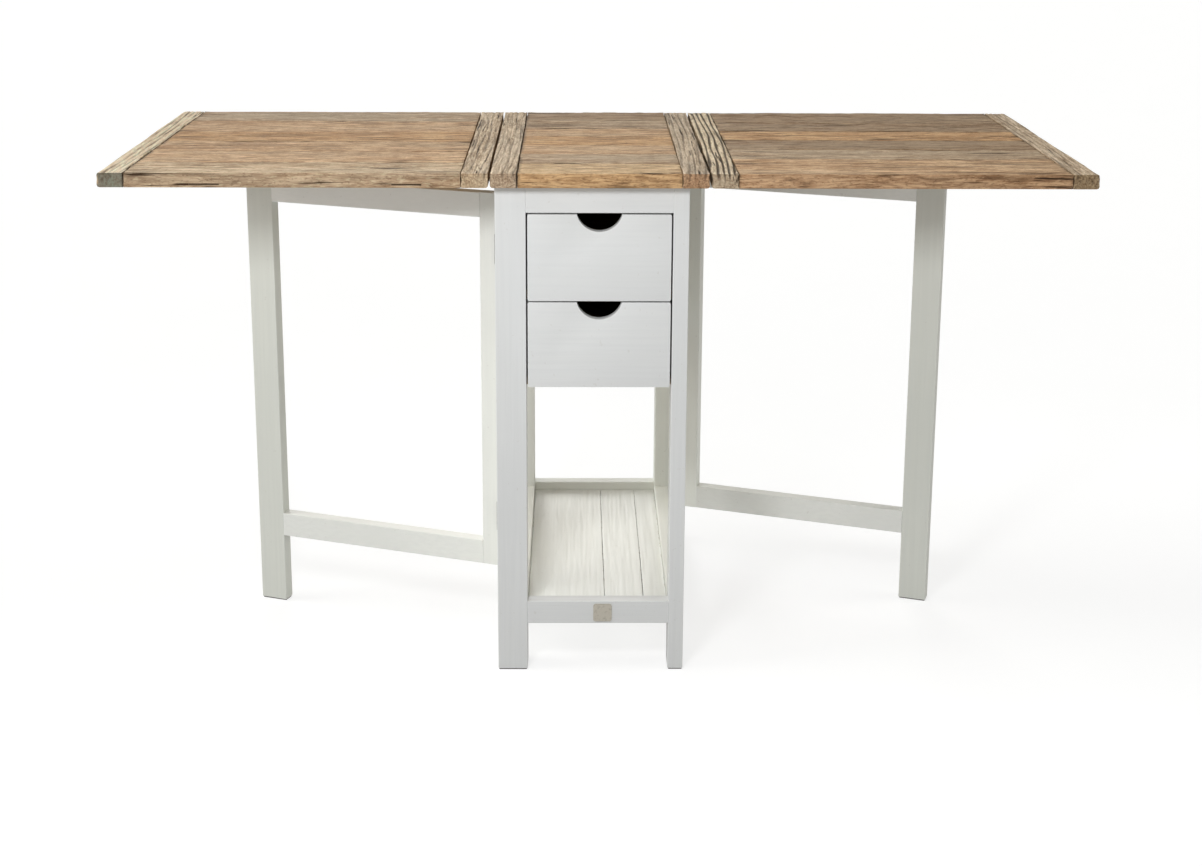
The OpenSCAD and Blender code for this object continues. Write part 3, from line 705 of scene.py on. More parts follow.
@dataclass
class Relief:
    """Textures that push a board's surface inwards, stretched along its grain.

    Attributes:
        clouds: Size, octaves, and the values where the push starts and is full, of each cloud texture.
        textures: The textures of the marks.
    """

    clouds: tuple[tuple[Mark, float, int, float, float], ...] = (
        (Mark.DENTS, 0.035, 3, 0.42, 0.72), (Mark.CHIPS, 0.011, 4, 0.40, 0.75),
        (Mark.GROOVES, 0.006, 3, 0.38, 0.70))
    textures: dict[Mark, bpy.types.Texture] = field(default_factory=dict)

    def __post_init__(self) -> None:
        """Makes the shared textures."""
        for mark, size, octaves, start, full in self.clouds:
            made = self.texture(mark, "CLOUDS", (start, 0.0), (full, 1.0))
            made.noise_scale = size
            made.noise_depth = octaves
        rows = self.texture(Mark.ROWS, "WOOD", (0.0, 1.0), (0.55, 0.0))
        rows.wood_type = "RINGNOISE"
        rows.noise_basis_2 = "SIN"
        rows.noise_scale = 0.9
        rows.turbulence = 5.0

    def texture(self, mark: Mark, kind: str, *stops: tuple[float, float]) -> bpy.types.Texture:
        """Makes one texture.

        Args:
            mark: The marks that it gives.
            kind: Its type.
            stops: Place and grey value of each stop of its ramp.

        Returns:
            The texture.
        """
        made = bpy.data.textures.new("worn_" + mark.value[0], kind)
        made.use_color_ramp = True
        for stair, (place, value) in zip(made.color_ramp.elements, stops):
            stair.position = place
            stair.color = (value, value, value, 1.0)
        self.textures[mark] = made
        return made

    def push(self, piece: bpy.types.Object, mark: Mark, depth: float, run: Grain, heart: tuple[float, ...],
             scale: float = 1.0) -> None:
        """Pushes marks into a board.

        Args:
            piece: The board.
            mark: Which marks.
            depth: Their greatest depth.
            run: Direction of the grain.
            heart: The pattern's centre.
            scale: Size of the pattern across the grain.
        """
        label, stretch, part = mark.value
        Workbench.clear()
        bpy.ops.object.empty_add(location=heart)
        guide = bpy.context.active_object
        guide.scale = stretched(run, scale, scale * stretch)
        bpy.context.view_layer.update()
        pushed = piece.modifiers.new("push_" + label, "DISPLACE")
        pushed.texture = self.textures[mark]
        pushed.texture_coords = "OBJECT"
        pushed.texture_coords_object = guide
        pushed.vertex_group = part
        pushed.mid_level = 0.0
        pushed.strength = -depth
        pushed.direction = "NORMAL"
        Workbench.finish_modifiers(piece)
        bpy.data.objects.remove(guide)

    def done(self) -> None:
        """Removes the textures once every board is shaped."""
        for made in self.textures.values():
            bpy.data.textures.remove(made)


@dataclass
class Board:
    """One worn board of the top or the shelf.

    Attributes:
        name: The piece's name.
        low: Its low corner.
        high: Its high corner.
        run: Direction of its grain.
        wear: How worn it is.
        seed: Offset of its patterns.
        long_step: Length of its faces along the grain.
        fine_step: Their width across the grain where rows are worn.
        plain_step: Their width elsewhere.
        most_cuts: The most cuts that one subdivision makes.
        corner: Rounding of the upright corners.
        end_round: Rounding of the upright corners at its round side.
        eased: Largest angle in degrees that is shaded smoothly.
        drift: Offset of the marks' patterns for each unit of seed.
        groove_share: Depth of the grooves, in parts of the dents'.
        dent_share: Depth of a single dent, in parts of its radius.
        notch_above: Height of a notch over the lower edge.
        notch_height: Height of a notch.
        notch_depth: Depth of a notch.
        notch_shade: Painted shade at the back of a notch, from 0 to 1.
        notch_shade_reach: Height of the painted shade over the lower edge, in parts of the notch's height.
        hollow_depth: How deep a place is when it is as dark as a joint.
        dirt_width: How far the joints' dirt reaches.
        patch: Size of the patches in which the joints' dirt comes and goes.
        patchiness: Strength of the patches.
        fade: Power with which the dirt fades away from a joint.
        heart_aside: Distance of the growth rings' centre from the board, to the left and below.
        row_scale: Size of the rows' pattern.
        face_foot: Height over the lower face at which the face's wear starts.
        face_rise: Height in which it becomes full.
        rim_width: How far the chips reach from an edge.
        back_fade: Length at the back end of a batten in which the chips fade.
        foot_rest: Height over the lower face that has no chips.
        foot_chips: Depth of the chips just above it, in parts of those at the face.
    """

    name: str
    low: Vector
    high: Vector
    run: Grain
    wear: Wear
    seed: float
    long_step: float = 8.0 * MM
    fine_step: float = 1.1 * MM
    plain_step: float = 2.2 * MM
    most_cuts: int = 100
    corner: float = 0.8 * MM
    end_round: float = 7.0 * MM
    eased: float = 50.0
    drift: tuple[float, float, float] = (0.31, 0.17, 0.07)
    groove_share: float = 1.1
    dent_share: float = 0.7
    notch_above: float = 4.8 * MM
    notch_height: float = 3.2 * MM
    notch_depth: float = 2.4 * MM
    notch_shade: float = 0.95
    notch_shade_reach: float = 2.6
    hollow_depth: float = 2.2 * MM
    dirt_width: float = 3.4 * MM
    patch: float = 45.0 * MM
    patchiness: float = 1.6
    fade: float = 0.6
    heart_aside: float = 110.0 * MM
    row_scale: float = 25.0 * MM
    face_foot: float = 4.0 * MM
    face_rise: float = 8.0 * MM
    rim_width: float = 5.0 * MM
    back_fade: float = 30.0 * MM
    foot_rest: float = 1.5 * MM
    foot_chips: float = 0.25

    @property
    def across(self) -> int:
        """The level axis across the grain."""
        return 1 if self.run is Grain.X else 0

    def build(self, relief: Relief, rounds: dict[tuple[int, int], float] | None = None) -> bpy.types.Object:
        """Shapes the board.

        Args:
            relief: The textures that wear it.
            rounds: Larger rounding of long edges, by the side (-1 or 1) across and up.

        Returns:
            The finished piece.
        """
        self.low = self.low + Vector((0.0, self.wear.front_gap, 0.0))
        piece = Workbench.block(self.name, self.low, self.high)
        bpy.ops.object.mode_set(mode="EDIT")
        self.ease(piece, rounds or {})
        self.divide(piece)
        for start, end in self.wear.notches:
            self.notch(piece, start, end)
        bpy.ops.object.mode_set(mode="OBJECT")
        if self.wear.round_side:
            self.round_corners(piece)
        self.weigh(piece)
        before = [vertex.co.copy() for vertex in piece.data.vertices]
        far = tuple(part * self.seed for part in self.drift)
        relief.push(piece, Mark.DENTS, self.wear.relief, self.run, far)
        relief.push(piece, Mark.GROOVES, self.wear.relief * self.groove_share, self.run, far)
        if self.wear.rows:
            heart = (self.low.x - self.heart_aside, self.heart_aside, self.low.z - self.heart_aside)
            relief.push(piece, Mark.ROWS, self.wear.rows, self.run, heart, self.row_scale)
        for x, y, radius in self.wear.holes:
            self.hole(piece, Vector((x, y, self.high.z)), radius)
        # The hollow attribute holds the depth of dents and grooves, the dirt of the joints, and the painted
        # shade at the back of a notch.
        hollow = piece.data.attributes.new("hollow", "FLOAT", "POINT")
        for vertex, place in zip(piece.data.vertices, before):
            depth = (vertex.co - place).length / self.hollow_depth
            hollow.data[vertex.index].value = min(1.0, max(depth, self.dirt(place)))
        relief.push(piece, Mark.CHIPS, self.wear.chip, self.run, far)
        for vertex in piece.data.vertices:
            vertex.co = Vector(max(a, min(b, c)) for a, b, c in zip(self.low, self.high, vertex.co))
        Workbench.smooth(piece, self.eased)
        return piece

    def ease(self, piece: bpy.types.Object, rounds: dict[tuple[int, int], float]) -> None:
        """Rounds the block's edges.

        Args:
            piece: The block, in edit mode.
            rounds: Larger rounding of long edges, by side across and up.
        """
        middle = (self.low + self.high) / 2
        for (side, up), radius in rounds.items():
            Workbench.pick(piece, lambda e: Workbench.along(self.run.value)(e)
                           and (e.verts[0].co[self.across] - middle[self.across]) * side > 0
                           and (e.verts[0].co.z - middle.z) * up > 0)
            bpy.ops.mesh.bevel(offset=radius, segments=5, profile=0.5)
        Workbench.pick(piece, Workbench.along(2))
        bpy.ops.mesh.bevel(offset=self.corner, segments=2, profile=0.5)
        Workbench.pick(piece, lambda e: len(e.link_faces) == 2 and e.calc_face_angle(0.0) > math.radians(60)
                       and any(abs(f.normal.z) > 0.9 for f in e.link_faces))
        bpy.ops.mesh.bevel(offset=self.wear.edge, segments=3, profile=0.5)

    def divide(self, piece: bpy.types.Object) -> None:
        """Cuts the block's faces into a fine grid.

        Args:
            piece: The block, in edit mode.
        """
        span = self.high - self.low
        step = self.fine_step if self.wear.rows else self.plain_step
        cuts = {self.run.value: int(span[self.run.value] / self.long_step),
                self.across: int(span[self.across] / step),
                2: 7 if self.wear.notches else 3}
        for axis, count in cuts.items():
            Workbench.pick(piece, lambda e, axis=axis: Workbench.along(axis)(e)
                           and (e.verts[1].co - e.verts[0].co).length > self.long_step)
            bpy.ops.mesh.subdivide(number_cuts=min(self.most_cuts, count))

    def notch(self, piece: bpy.types.Object, start: float, end: float) -> None:
        """Sinks a shallow notch into the lower part of the board's front face.

        Args:
            piece: The board, in edit mode.
            start: Where the notch starts along the board.
            end: Where it ends.
        """
        foot = self.low.z
        Workbench.pick(piece, lambda f: f.normal.y < -0.99 and start < f.calc_center_median().x < end
                       and 0.0 < f.calc_center_median().z - foot - self.notch_above < self.notch_height, True)
        bpy.ops.mesh.extrude_region_move(TRANSFORM_OT_translate={"value": (0.0, self.notch_depth, 0.0)})

    def round_corners(self, piece: bpy.types.Object) -> None:
        """Rounds the two upright corners at the round side of a board that runs along Y.

        Args:
            piece: The board.
        """
        side = self.high.x if self.wear.round_side > 0 else self.low.x
        depths = sorted({round(abs(v.co.x - side), 5) for v in piece.data.vertices
                         if abs(v.co.x - side) < self.end_round})
        for end, inward in ((self.low.y, 1.0), (self.high.y, -1.0)):
            for depth in depths:
                back = self.end_round - math.sqrt(self.end_round ** 2 - (self.end_round - depth) ** 2)
                Workbench.shift(piece, lambda v: abs(abs(v.co.x - side) - depth) < 1e-5
                                and abs(v.co.y - end) < 2 * self.wear.edge, (0.0, back * inward, 0.0))

    def hole(self, piece: bpy.types.Object, at: Vector, radius: float) -> None:
        """Sinks a small ragged dent into the board's face at a point."""
        Workbench.shift(piece, lambda v: (v.co - at).length < radius, (0.0, 0.0, -radius * self.dent_share))

    def in_notch(self, at: Vector) -> bool:
        """Says whether a point lies at the back of a notch.

        Args:
            at: The point.

        Returns:
            Whether it does.
        """
        deep = self.notch_depth / 2 < at.y - self.low.y < 1.2 * self.notch_depth
        beside = any(start - MM < at.x < end + MM for start, end in self.wear.notches)
        return deep and beside and at.z < self.low.z + self.notch_shade_reach * self.notch_height

    def dirt(self, at: Vector) -> float:
        """Says how much dirt the joints hold at a point, or how much painted shade darkens the back of a
        notch.

        Args:
            at: The point.

        Returns:
            A share from 0 to 1.
        """
        # The back of a notch gets painted shade, darkened as if in the notch's shadow.
        if self.in_notch(at):
            return self.notch_shade
        low, high, across, along = self.low, self.high, self.across, self.run.value
        patch = 1.0 + self.patchiness * noise.noise(Vector((at.x, at.y, self.seed)) / self.patch)
        sides = ((at[across] - low[across], self.wear.front_dirt),
                 (high[across] - at[across], self.wear.back_dirt),
                 (at[along] - low[along], self.wear.end_dirt[0]),
                 (high[along] - at[along], self.wear.end_dirt[1]))
        return max(min(1.0, share * patch) * max(0.0, 1.0 - max(0.0, gap) / self.dirt_width) ** self.fade
                   for gap, share in sides)

    def weigh(self, piece: bpy.types.Object) -> None:
        """Marks the worn face and edges in vertex groups.

        Args:
            piece: The board.
        """
        face = piece.vertex_groups.new(name="face")
        edge = piece.vertex_groups.new(name="edge")
        for vertex in piece.data.vertices:
            at = vertex.co
            height = at.z - self.low.z
            up = max(0.0, min(1.0, (height - self.face_foot) / self.face_rise))
            inner = sorted(min(at[i] - self.low[i], self.high[i] - at[i]) for i in range(3))
            rim = max(0.0, 1.0 - inner[1] / self.rim_width)
            if self.run is Grain.Y:
                rim *= min(1.0, (self.high.y - at.y) / self.back_fade)
            rim *= self.foot_chips + (1.0 - self.foot_chips) * up
            face.add([vertex.index], up, "REPLACE")
            edge.add([vertex.index], rim if height > self.foot_rest else 0.0, "REPLACE")


@dataclass(frozen=True)
class Section:
    """The planks of one section of the top, from front to back.

    Attributes:
        node: The node that they stand for.
        body: The body that they ride on.
        planks: Width, in parts of the whole, and finish of each plank.
        end_dirt: Dirt in the joints at their left and right ends.
        dark_joint: The joint that holds most dirt, counted from the front edge.
        notches: Start and end along X of the notches in the front face.
    """

    node: str
    body: str
    planks: tuple[tuple[int, OldWood], ...]
    end_dirt: tuple[float, float]
    dark_joint: int
    notches: tuple[tuple[float, float], ...] = ()

    def dirt(self, joint: int) -> float:
        """Says how much dirt a joint holds.

        Args:
            joint: Its number, counted from the front edge, which is 0.

        Returns:
            A share from 0 to 1.
        """
        if joint in (0, len(self.planks)):
            return 0.0
        return 1.0 if joint == self.dark_joint else 0.45


@dataclass(frozen=True)
class Batten:
    """One cross batten of the top.

    Attributes:
        node: The node that it stands for.
        body: The body that it rides on.
        finish: Its wood.
        dirt: Dirt in the joints at its left and right sides.
        seam: Side of the seam, -1 or 1, or 0 at the outer ends.
        outer: Side of the table's end, -1 or 1, or 0 elsewhere.
        rows: Depth of the rows worn between its growth rings.
        holes: Place and radius of the dents in its face.
        openings: Start and end along Y of the stretches where its right-hand joint has opened.
    """

    node: str
    body: str
    finish: OldWood
    dirt: tuple[float, float]
    seam: int = 0
    outer: int = 0
    rows: float = 0.8 * MM
    holes: tuple[tuple[float, float, float], ...] = ()
    openings: tuple[tuple[float, float], ...] = ()


@dataclass
class TableTop:
    """The three sections of the top, each of planks between two battens."""

    relief: Relief
    dice: random.Random = field(default_factory=lambda: random.Random(41))
    tongue: float = 13.0 * MM
    shoulder: float = 0.5 * MM
    gap: float = 0.3 * MM
    seam_round: float = 6.0 * MM
    outer_round: float = 7.0 * MM
    dent_step: float = 6.0 * MM
    seeds: tuple[float, float] = (1.0, 40.0)
    # Ranges and choices in millimetres for the wear that differs from board to board.
    dent_radii: tuple[float, float] = (4.0, 5.4)
    plank_edges: tuple[float, float] = (1.1, 2.0)
    plank_chips: tuple[float, float] = (0.9, 2.2)
    plank_relief: tuple[float, float] = (0.4, 0.8)
    plank_gaps: tuple[float, ...] = (0.0, 0.3, 0.9)
    batten_wear: Wear = Wear(edge=1.1 * MM, chip=1.1 * MM, relief=0.6 * MM)

    def build(self) -> list[bpy.types.Object]:
        """Builds every board of the top."""
        made = [plank for section in self.sections() for plank in self.planks(section)]
        return made + [self.batten(batten) for batten in self.battens()]

    @staticmethod
    def sections() -> tuple[Section, ...]:
        """Lists the sections of planks.

        Returns:
            The left leaf, the centre and the right leaf.
        """
        warm = OldWood(side=(0.80, 0.73, 0.68), bright=1.25)
        orange = OldWood(body=(0.46, 0.255, 0.118), pale=(0.66, 0.435, 0.235), greyness=0.15, bright=1.05)
        grey = OldWood(body=(0.33, 0.225, 0.138), pale=(0.56, 0.43, 0.295), greyness=0.75, bright=1.2)
        dark = OldWood(body=(0.28, 0.178, 0.102), pale=(0.47, 0.34, 0.218), greyness=0.5)
        golden = OldWood(body=(0.44, 0.29, 0.155), pale=(0.66, 0.48, 0.285), side=(0.81, 0.71, 0.61),
                         greyness=0.2, bright=1.15)
        pale = OldWood(body=(0.41, 0.285, 0.175), pale=(0.67, 0.515, 0.35), side=(0.75, 0.72, 0.70),
                       greyness=0.6, bright=1.3)
        return (
            Section("left_leaf_planks", "leaf_left",
                    ((120, pale), (125, warm), (120, warm), (125, orange), (150, warm), (140, grey)),
                    end_dirt=(0.95, 0.4), dark_joint=3, notches=((-0.758, -0.698), (-0.383, -0.326))),
            Section("centre_planks", "frame",
                    ((108, golden), (112, grey), (108, warm), (110, orange), (104, warm), (118, grey),
                     (120, dark)),
                    end_dirt=(1.0, 0.1), dark_joint=5),
            Section("right_leaf_planks", "leaf_right",
                    ((168, warm), (112, grey), (113, dark), (117, orange), (117, dark), (153, dark)),
                    end_dirt=(0.7, 0.45), dark_joint=3))

    @staticmethod
    def battens() -> tuple[Batten, ...]:
        """Lists the cross battens.

        Returns:
            The battens from left to right.
        """
        plain = OldWood(dark=(0.16, 0.105, 0.062), body=(0.41, 0.305, 0.205), pale=(0.62, 0.50, 0.36),
                        grey=(0.45, 0.365, 0.275), greyness=0.6, rings=26.0, ring_depth=0.42, cracks=0.4,
                        wave=0.02, relief=0.002)
        smooth = replace(plain, dark=(0.30, 0.22, 0.14), body=(0.44, 0.33, 0.225), ring_depth=0.2)
        combed = replace(plain, pale=(0.74, 0.60, 0.43), body=(0.52, 0.40, 0.27), ring_depth=0.1, cracks=0.0,
                         greyness=0.3)
        return (
            Batten("left_leaf_outer_batten", "leaf_left",
                   replace(smooth, end=(0.29, 0.32, 0.33), bright=1.75), dirt=(0.0, 0.8), outer=-1,
                   openings=((-0.345, -0.285), (-0.23, -0.135), (-0.045, -0.02), (0.14, 0.19))),
            Batten("left_leaf_inner_batten", "leaf_left",
                   replace(plain, end=(0.80, 0.75, 0.68), bright=1.35), dirt=(0.3, 0.45), seam=1,
                   holes=((-0.238, -0.315, 0.004), (-0.228, -0.300, 0.003), (-0.222, -0.332, 0.0035))),
            Batten("centre_batten_left", "frame",
                   replace(plain, end=(0.76, 0.72, 0.70), bright=1.3), dirt=(0.45, 0.9), seam=-1),
            Batten("centre_batten_right", "frame",
                   replace(plain, end=(0.80, 0.62, 0.50), bright=1.15), dirt=(0.05, 0.5), seam=1),
            Batten("right_leaf_inner_batten", "leaf_right",
                   replace(combed, end=(0.70, 0.66, 0.64), bright=1.25), dirt=(0.5, 0.6), seam=-1,
                   rows=2.2 * MM),
            Batten("right_leaf_outer_batten", "leaf_right",
                   replace(plain, end=(0.68, 0.62, 0.52), bright=1.2), dirt=(0.35, 0.0), outer=1))

    def planks(self, section: Section) -> list[bpy.types.Object]:
        """Builds one section's planks from front to back.

        Args:
            section: What they are.

        Returns:
            The planks.
        """
        low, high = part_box(section.node)
        inset = self.tongue + self.shoulder
        places = portions((share for share, _ in section.planks), low.y, high.y, self.gap)
        made = []
        for index, (start, end) in enumerate(places):
            near = Vector((low.x + inset, start, low.z))
            far = Vector((high.x - inset, end, high.z))
            finish = section.planks[index][1]
            seed = self.dice.uniform(*self.seeds)
            wear = Wear(edge=self.dice.uniform(*self.plank_edges) * MM,
                        chip=self.dice.uniform(*self.plank_chips) * MM,
                        relief=self.dice.uniform(*self.plank_relief) * MM,
                        front_gap=self.dice.choice(self.plank_gaps) * MM if index else 0.0,
                        front_dirt=section.dirt(index), back_dirt=section.dirt(index + 1),
                        end_dirt=section.end_dirt, notches=() if index else section.notches)
            piece = Board(f"{section.node}_{index + 1}", near, far, Grain.X, wear, seed).build(self.relief)
            dress(piece, finish.material(f"old_wood_{section.node}_{index + 1}", Grain.X, seed))
            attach(piece, section.body)
            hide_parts(section.node)
            made.append(piece)
        return made

    def dents(self, batten: Batten, edge: float) -> tuple[tuple[float, float, float], ...]:
        """Lists the dents where a batten's joint with the planks has opened.

        Args:
            batten: The batten.
            edge: Where the joint runs.

        Returns:
            The place and radius of each dent.
        """
        dents = []
        for start, end in batten.openings:
            count = max(2, round((end - start) / self.dent_step))
            for index in range(count):
                radius = self.dice.uniform(*self.dent_radii) * MM
                dents.append((edge, start + (end - start) * index / (count - 1), radius))
        return tuple(dents)

    def batten(self, batten: Batten) -> bpy.types.Object:
        """Builds one cross batten.

        Args:
            batten: What it is.

        Returns:
            The batten.
        """
        low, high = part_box(batten.node)
        seed = self.dice.uniform(*self.seeds)
        wear = replace(self.batten_wear, rows=batten.rows, front_dirt=batten.dirt[0],
                       back_dirt=batten.dirt[1], round_side=batten.outer,
                       holes=batten.holes + self.dents(batten, high.x))
        rounds = {(batten.seam, -1): self.seam_round} if batten.seam else {
            (batten.outer, up): self.outer_round for up in (-1, 1)}
        piece = Board(batten.node + "_worn", low, high, Grain.Y, wear, seed).build(self.relief, rounds)
        dress(piece, batten.finish.material("grey_wood_" + batten.node, Grain.Y, seed))
        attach(piece, batten.body)
        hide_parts(batten.node)
        return piece


@dataclass
class DrawerFront:
    """One drawer's front, with softened edges and a rounded finger notch."""

    node: str
    body: str
    seed: float
    notch_radius: float = 44.0 * MM
    notch_depth: float = 33.0 * MM
    corner: float = 3.0 * MM
    ease: float = 1.8 * MM

    def build(self) -> bpy.types.Object:
        """Shapes and paints the front.

        Returns:
            The front.
        """
        low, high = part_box(self.node)
        piece = Workbench.block(self.node + "_eased", low, high)
        bpy.ops.object.mode_set(mode="EDIT")
        Workbench.pick(piece, Workbench.along(1))
        bpy.ops.mesh.bevel(offset=self.corner, segments=3, profile=0.5)
        bpy.ops.object.mode_set(mode="OBJECT")
        self.cut_notch(piece, low, high)
        Workbench.smooth(piece, 35.0)
        dress(piece, PaintedWood(wear=0.4).material("white_paint_" + self.node, Grain.X, self.seed))
        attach(piece, self.body)
        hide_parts(self.node)
        return piece

    def cut_notch(self, piece: bpy.types.Object, low: Vector, high: Vector) -> None:
        """Cuts the finger notch and eases all edges.

        Args:
            piece: The front.
            low: Its low corner.
            high: Its high corner.
        """
        middle = (low + high) / 2
        Workbench.clear()
        bpy.ops.mesh.primitive_cylinder_add(
            vertices=96, radius=self.notch_radius, depth=4 * (high.y - low.y),
            location=(middle.x, middle.y, high.z - self.notch_depth + self.notch_radius),
            rotation=(math.pi / 2, 0.0, 0.0))
        cutter = bpy.context.active_object
        cut = piece.modifiers.new("notch", "BOOLEAN")
        cut.operation = "DIFFERENCE"
        cut.object = cutter
        ease = piece.modifiers.new("ease", "BEVEL")
        ease.width = self.ease
        ease.segments = 3
        ease.limit_method = "ANGLE"
        ease.angle_limit = math.radians(45)
        Workbench.finish_modifiers(piece)
        bpy.data.objects.remove(cutter)


@dataclass
class Shelf:
    """The painted planks of the shelf, with worn joints."""

    relief: Relief
    shares: tuple[int, ...] = (152, 78, 46)
    gap: float = 0.1 * MM
    wear: Wear = Wear(edge=0.5 * MM, chip=0.7 * MM, relief=0.5 * MM)
    # Painted light: a lighter, creamier copy of the white paint, standing in for the light that reaches the
    # shelf beneath the drawers.
    paint: PaintedWood = PaintedWood(colour=(0.85, 0.86, 0.82), wear=0.45)

    def build(self) -> list[bpy.types.Object]:
        """Builds the planks from left to right.

        Returns:
            The planks.
        """
        low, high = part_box("shelf_planks")
        places = portions(self.shares, low.x, high.x, self.gap)
        made = []
        for index, (start, end) in enumerate(places):
            near = Vector((start, low.y, low.z))
            far = Vector((end, high.y, high.z))
            wear = self.wear
            if index == 0:
                wear = replace(wear, front_dirt=0.0)
            if index == len(places) - 1:
                wear = replace(wear, back_dirt=0.0)
            board = Board(f"shelf_plank_{index + 1}", near, far, Grain.Y, wear, 3.0 + 7.0 * index)
            piece = board.build(self.relief)
            dress(piece, self.paint.material(f"shelf_paint_{index + 1}", Grain.Y, 5.0 * index))
            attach(piece, "frame")
            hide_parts("shelf_planks")
            made.append(piece)
        return made


@dataclass
class PaintedFrame:
    """The white frame and gates, which keep their CAD shapes."""

    nodes: dict[str, bpy.types.Object]
    run_x: tuple[str, ...] = (
        "top_rail_front", "top_rail_back", "bottom_rail_front", "bottom_rail_back", "left_gate_top_rail",
        "left_gate_bottom_rail", "right_gate_top_rail", "right_gate_bottom_rail", "case_back_panel")
    run_y: tuple[str, ...] = (
        "top_rail_left", "top_rail_right", "bottom_rail_left", "bottom_rail_right", "case_side_panels")
    run_z: tuple[str, ...] = (
        "leg_front_left", "leg_front_right", "leg_back_left", "leg_back_right", "hinge_post_left",
        "hinge_post_right", "left_gate_leg", "left_gate_stile", "right_gate_leg", "right_gate_stile")
    # Painted light: lit and shaded copies of the white paint, lighter or darker than the other pieces' paint.
    # The pieces in shade inside the frame, the gate rails and the left gate's stile get lighter copies, and
    # the gate legs a darker, greener one.
    tints: tuple[tuple[Colour, tuple[str, ...]], ...] = (
        ((0.88, 0.89, 0.835), (
            "leg_back_left", "leg_back_right", "hinge_post_left", "hinge_post_right", "right_gate_stile",
            "top_rail_back", "bottom_rail_back", "bottom_rail_left", "bottom_rail_right", "case_back_panel",
            "case_side_panels")),
        ((0.69, 0.70, 0.645), ("left_gate_leg", "right_gate_leg")),
        ((0.89, 0.895, 0.86), ("left_gate_top_rail", "right_gate_top_rail")),
        ((0.80, 0.805, 0.765), ("left_gate_bottom_rail", "right_gate_bottom_rail", "left_gate_stile")))

    def build(self) -> list[bpy.types.Object]:
        """Dresses the painted pieces.

        Returns:
            The dressed nodes.
        """
        made = []
        for run, names in ((Grain.X, self.run_x), (Grain.Y, self.run_y), (Grain.Z, self.run_z)):
            for index, name in enumerate(names):
                seed = 1.7 * index + run.value
                dress(self.nodes[name], self.paint(name).material("white_paint_" + name, run, seed))
                made.append(self.nodes[name])
        return made

    def paint(self, name: str) -> PaintedWood:
        """Chooses the paint of a piece: the plain white, or one of the painted-light copies in tints.

        Args:
            name: The piece's node.

        Returns:
            Its paint.
        """
        # The copies in tints are painted light, standing in for how the light falls on each group of pieces.
        for colour, names in self.tints:
            if name in names:
                return PaintedWood(colour=colour)
        return PaintedWood()


@dataclass
class Fittings:
    """Bare wood inside, hinges, screws, brackets, the blank plate and the foot pads."""

    nodes: dict[str, bpy.types.Object]
    bare: tuple[tuple[str, Grain], ...] = (
        ("drawer_upper_box", Grain.Y), ("drawer_lower_box", Grain.Y), ("drawer_upper_bottom", Grain.X),
        ("drawer_lower_bottom", Grain.X), ("drawer_runners", Grain.Y), ("drawer_stops", Grain.X),
        ("shelf_bearers", Grain.Y), ("left_leaf_stop_block", Grain.X), ("right_leaf_stop_block", Grain.X))
    steel: tuple[str, ...] = (
        "flap_hinge_leaves", "flap_hinge_pins", "gate_hinge_leaves", "gate_hinge_pins", "frame_screws",
        "top_brackets", "left_gate_hinges", "right_gate_hinges", "left_leaf_hinges", "right_leaf_hinges")
    plated: tuple[str, ...] = ("front_plate", "plate_pins")
    pads: tuple[str, ...] = ("frame_foot_pads", "left_gate_foot_pad", "right_gate_foot_pad")
    wood: OldWood = OldWood(dark=(0.40, 0.28, 0.17), body=(0.58, 0.44, 0.29), pale=(0.68, 0.55, 0.39),
                            grey=(0.50, 0.42, 0.32), greyness=0.3, rings=10.0, ring_depth=0.25, cracks=0.0,
                            wave=0.008, relief=0.0004, side=(1.0, 1.0, 1.0), end=(0.85, 0.82, 0.78))
    plate: Metal = Metal(colour=(0.64, 0.60, 0.52), dull=(0.20, 0.16, 0.12), gloss=0.42, stain=0.25, rim=0.8)

    def build(self) -> list[bpy.types.Object]:
        """Dresses the fittings.

        Returns:
            The dressed nodes.
        """
        for index, (name, run) in enumerate(self.bare):
            dress(self.nodes[name], self.wood.material("raw_wood_" + name, run, 3.1 * index))
        steel = Metal().material("hinge_steel_finish", Grain.Y, 0.0)
        for name in self.steel:
            dress(self.nodes[name], steel)
        for name in self.plated:
            dress(self.nodes[name], self.plate.material("plate_metal_" + name, Grain.X, 2.0))
        for name in self.pads:
            dress(self.nodes[name], FeltPad().material("foot_pad_" + name, Grain.X, 1.0))
        bare = [name for name, _ in self.bare]
        return [self.nodes[name] for name in (*bare, *self.steel, *self.plated, *self.pads)]


def hang(name: str, thing: bpy.types.ID) -> bpy.types.Object:
    """Puts a light or camera in the scene.

    Args:
        name: The new object's name.
        thing: The light's or camera's data.

    Returns:
        The object.
    """
    holder = bpy.data.objects.new(name, thing)
    bpy.context.scene.collection.objects.link(holder)
    return holder


@dataclass(frozen=True)
class SoftLight:
    """One broad light, with its spread in degrees and the direction in which it shines."""

    name: str
    strength: float
    spread: float
    ahead: tuple[float, float, float]
    tint: Colour

    def shine(self) -> None:
        """Adds the light."""
        sun = bpy.data.lights.new(self.name, "SUN")
        sun.energy = self.strength
        sun.angle = math.radians(self.spread)
        sun.color = self.tint
        hang(self.name, sun).rotation_euler = Vector(self.ahead).to_track_quat("-Z", "Y").to_euler()


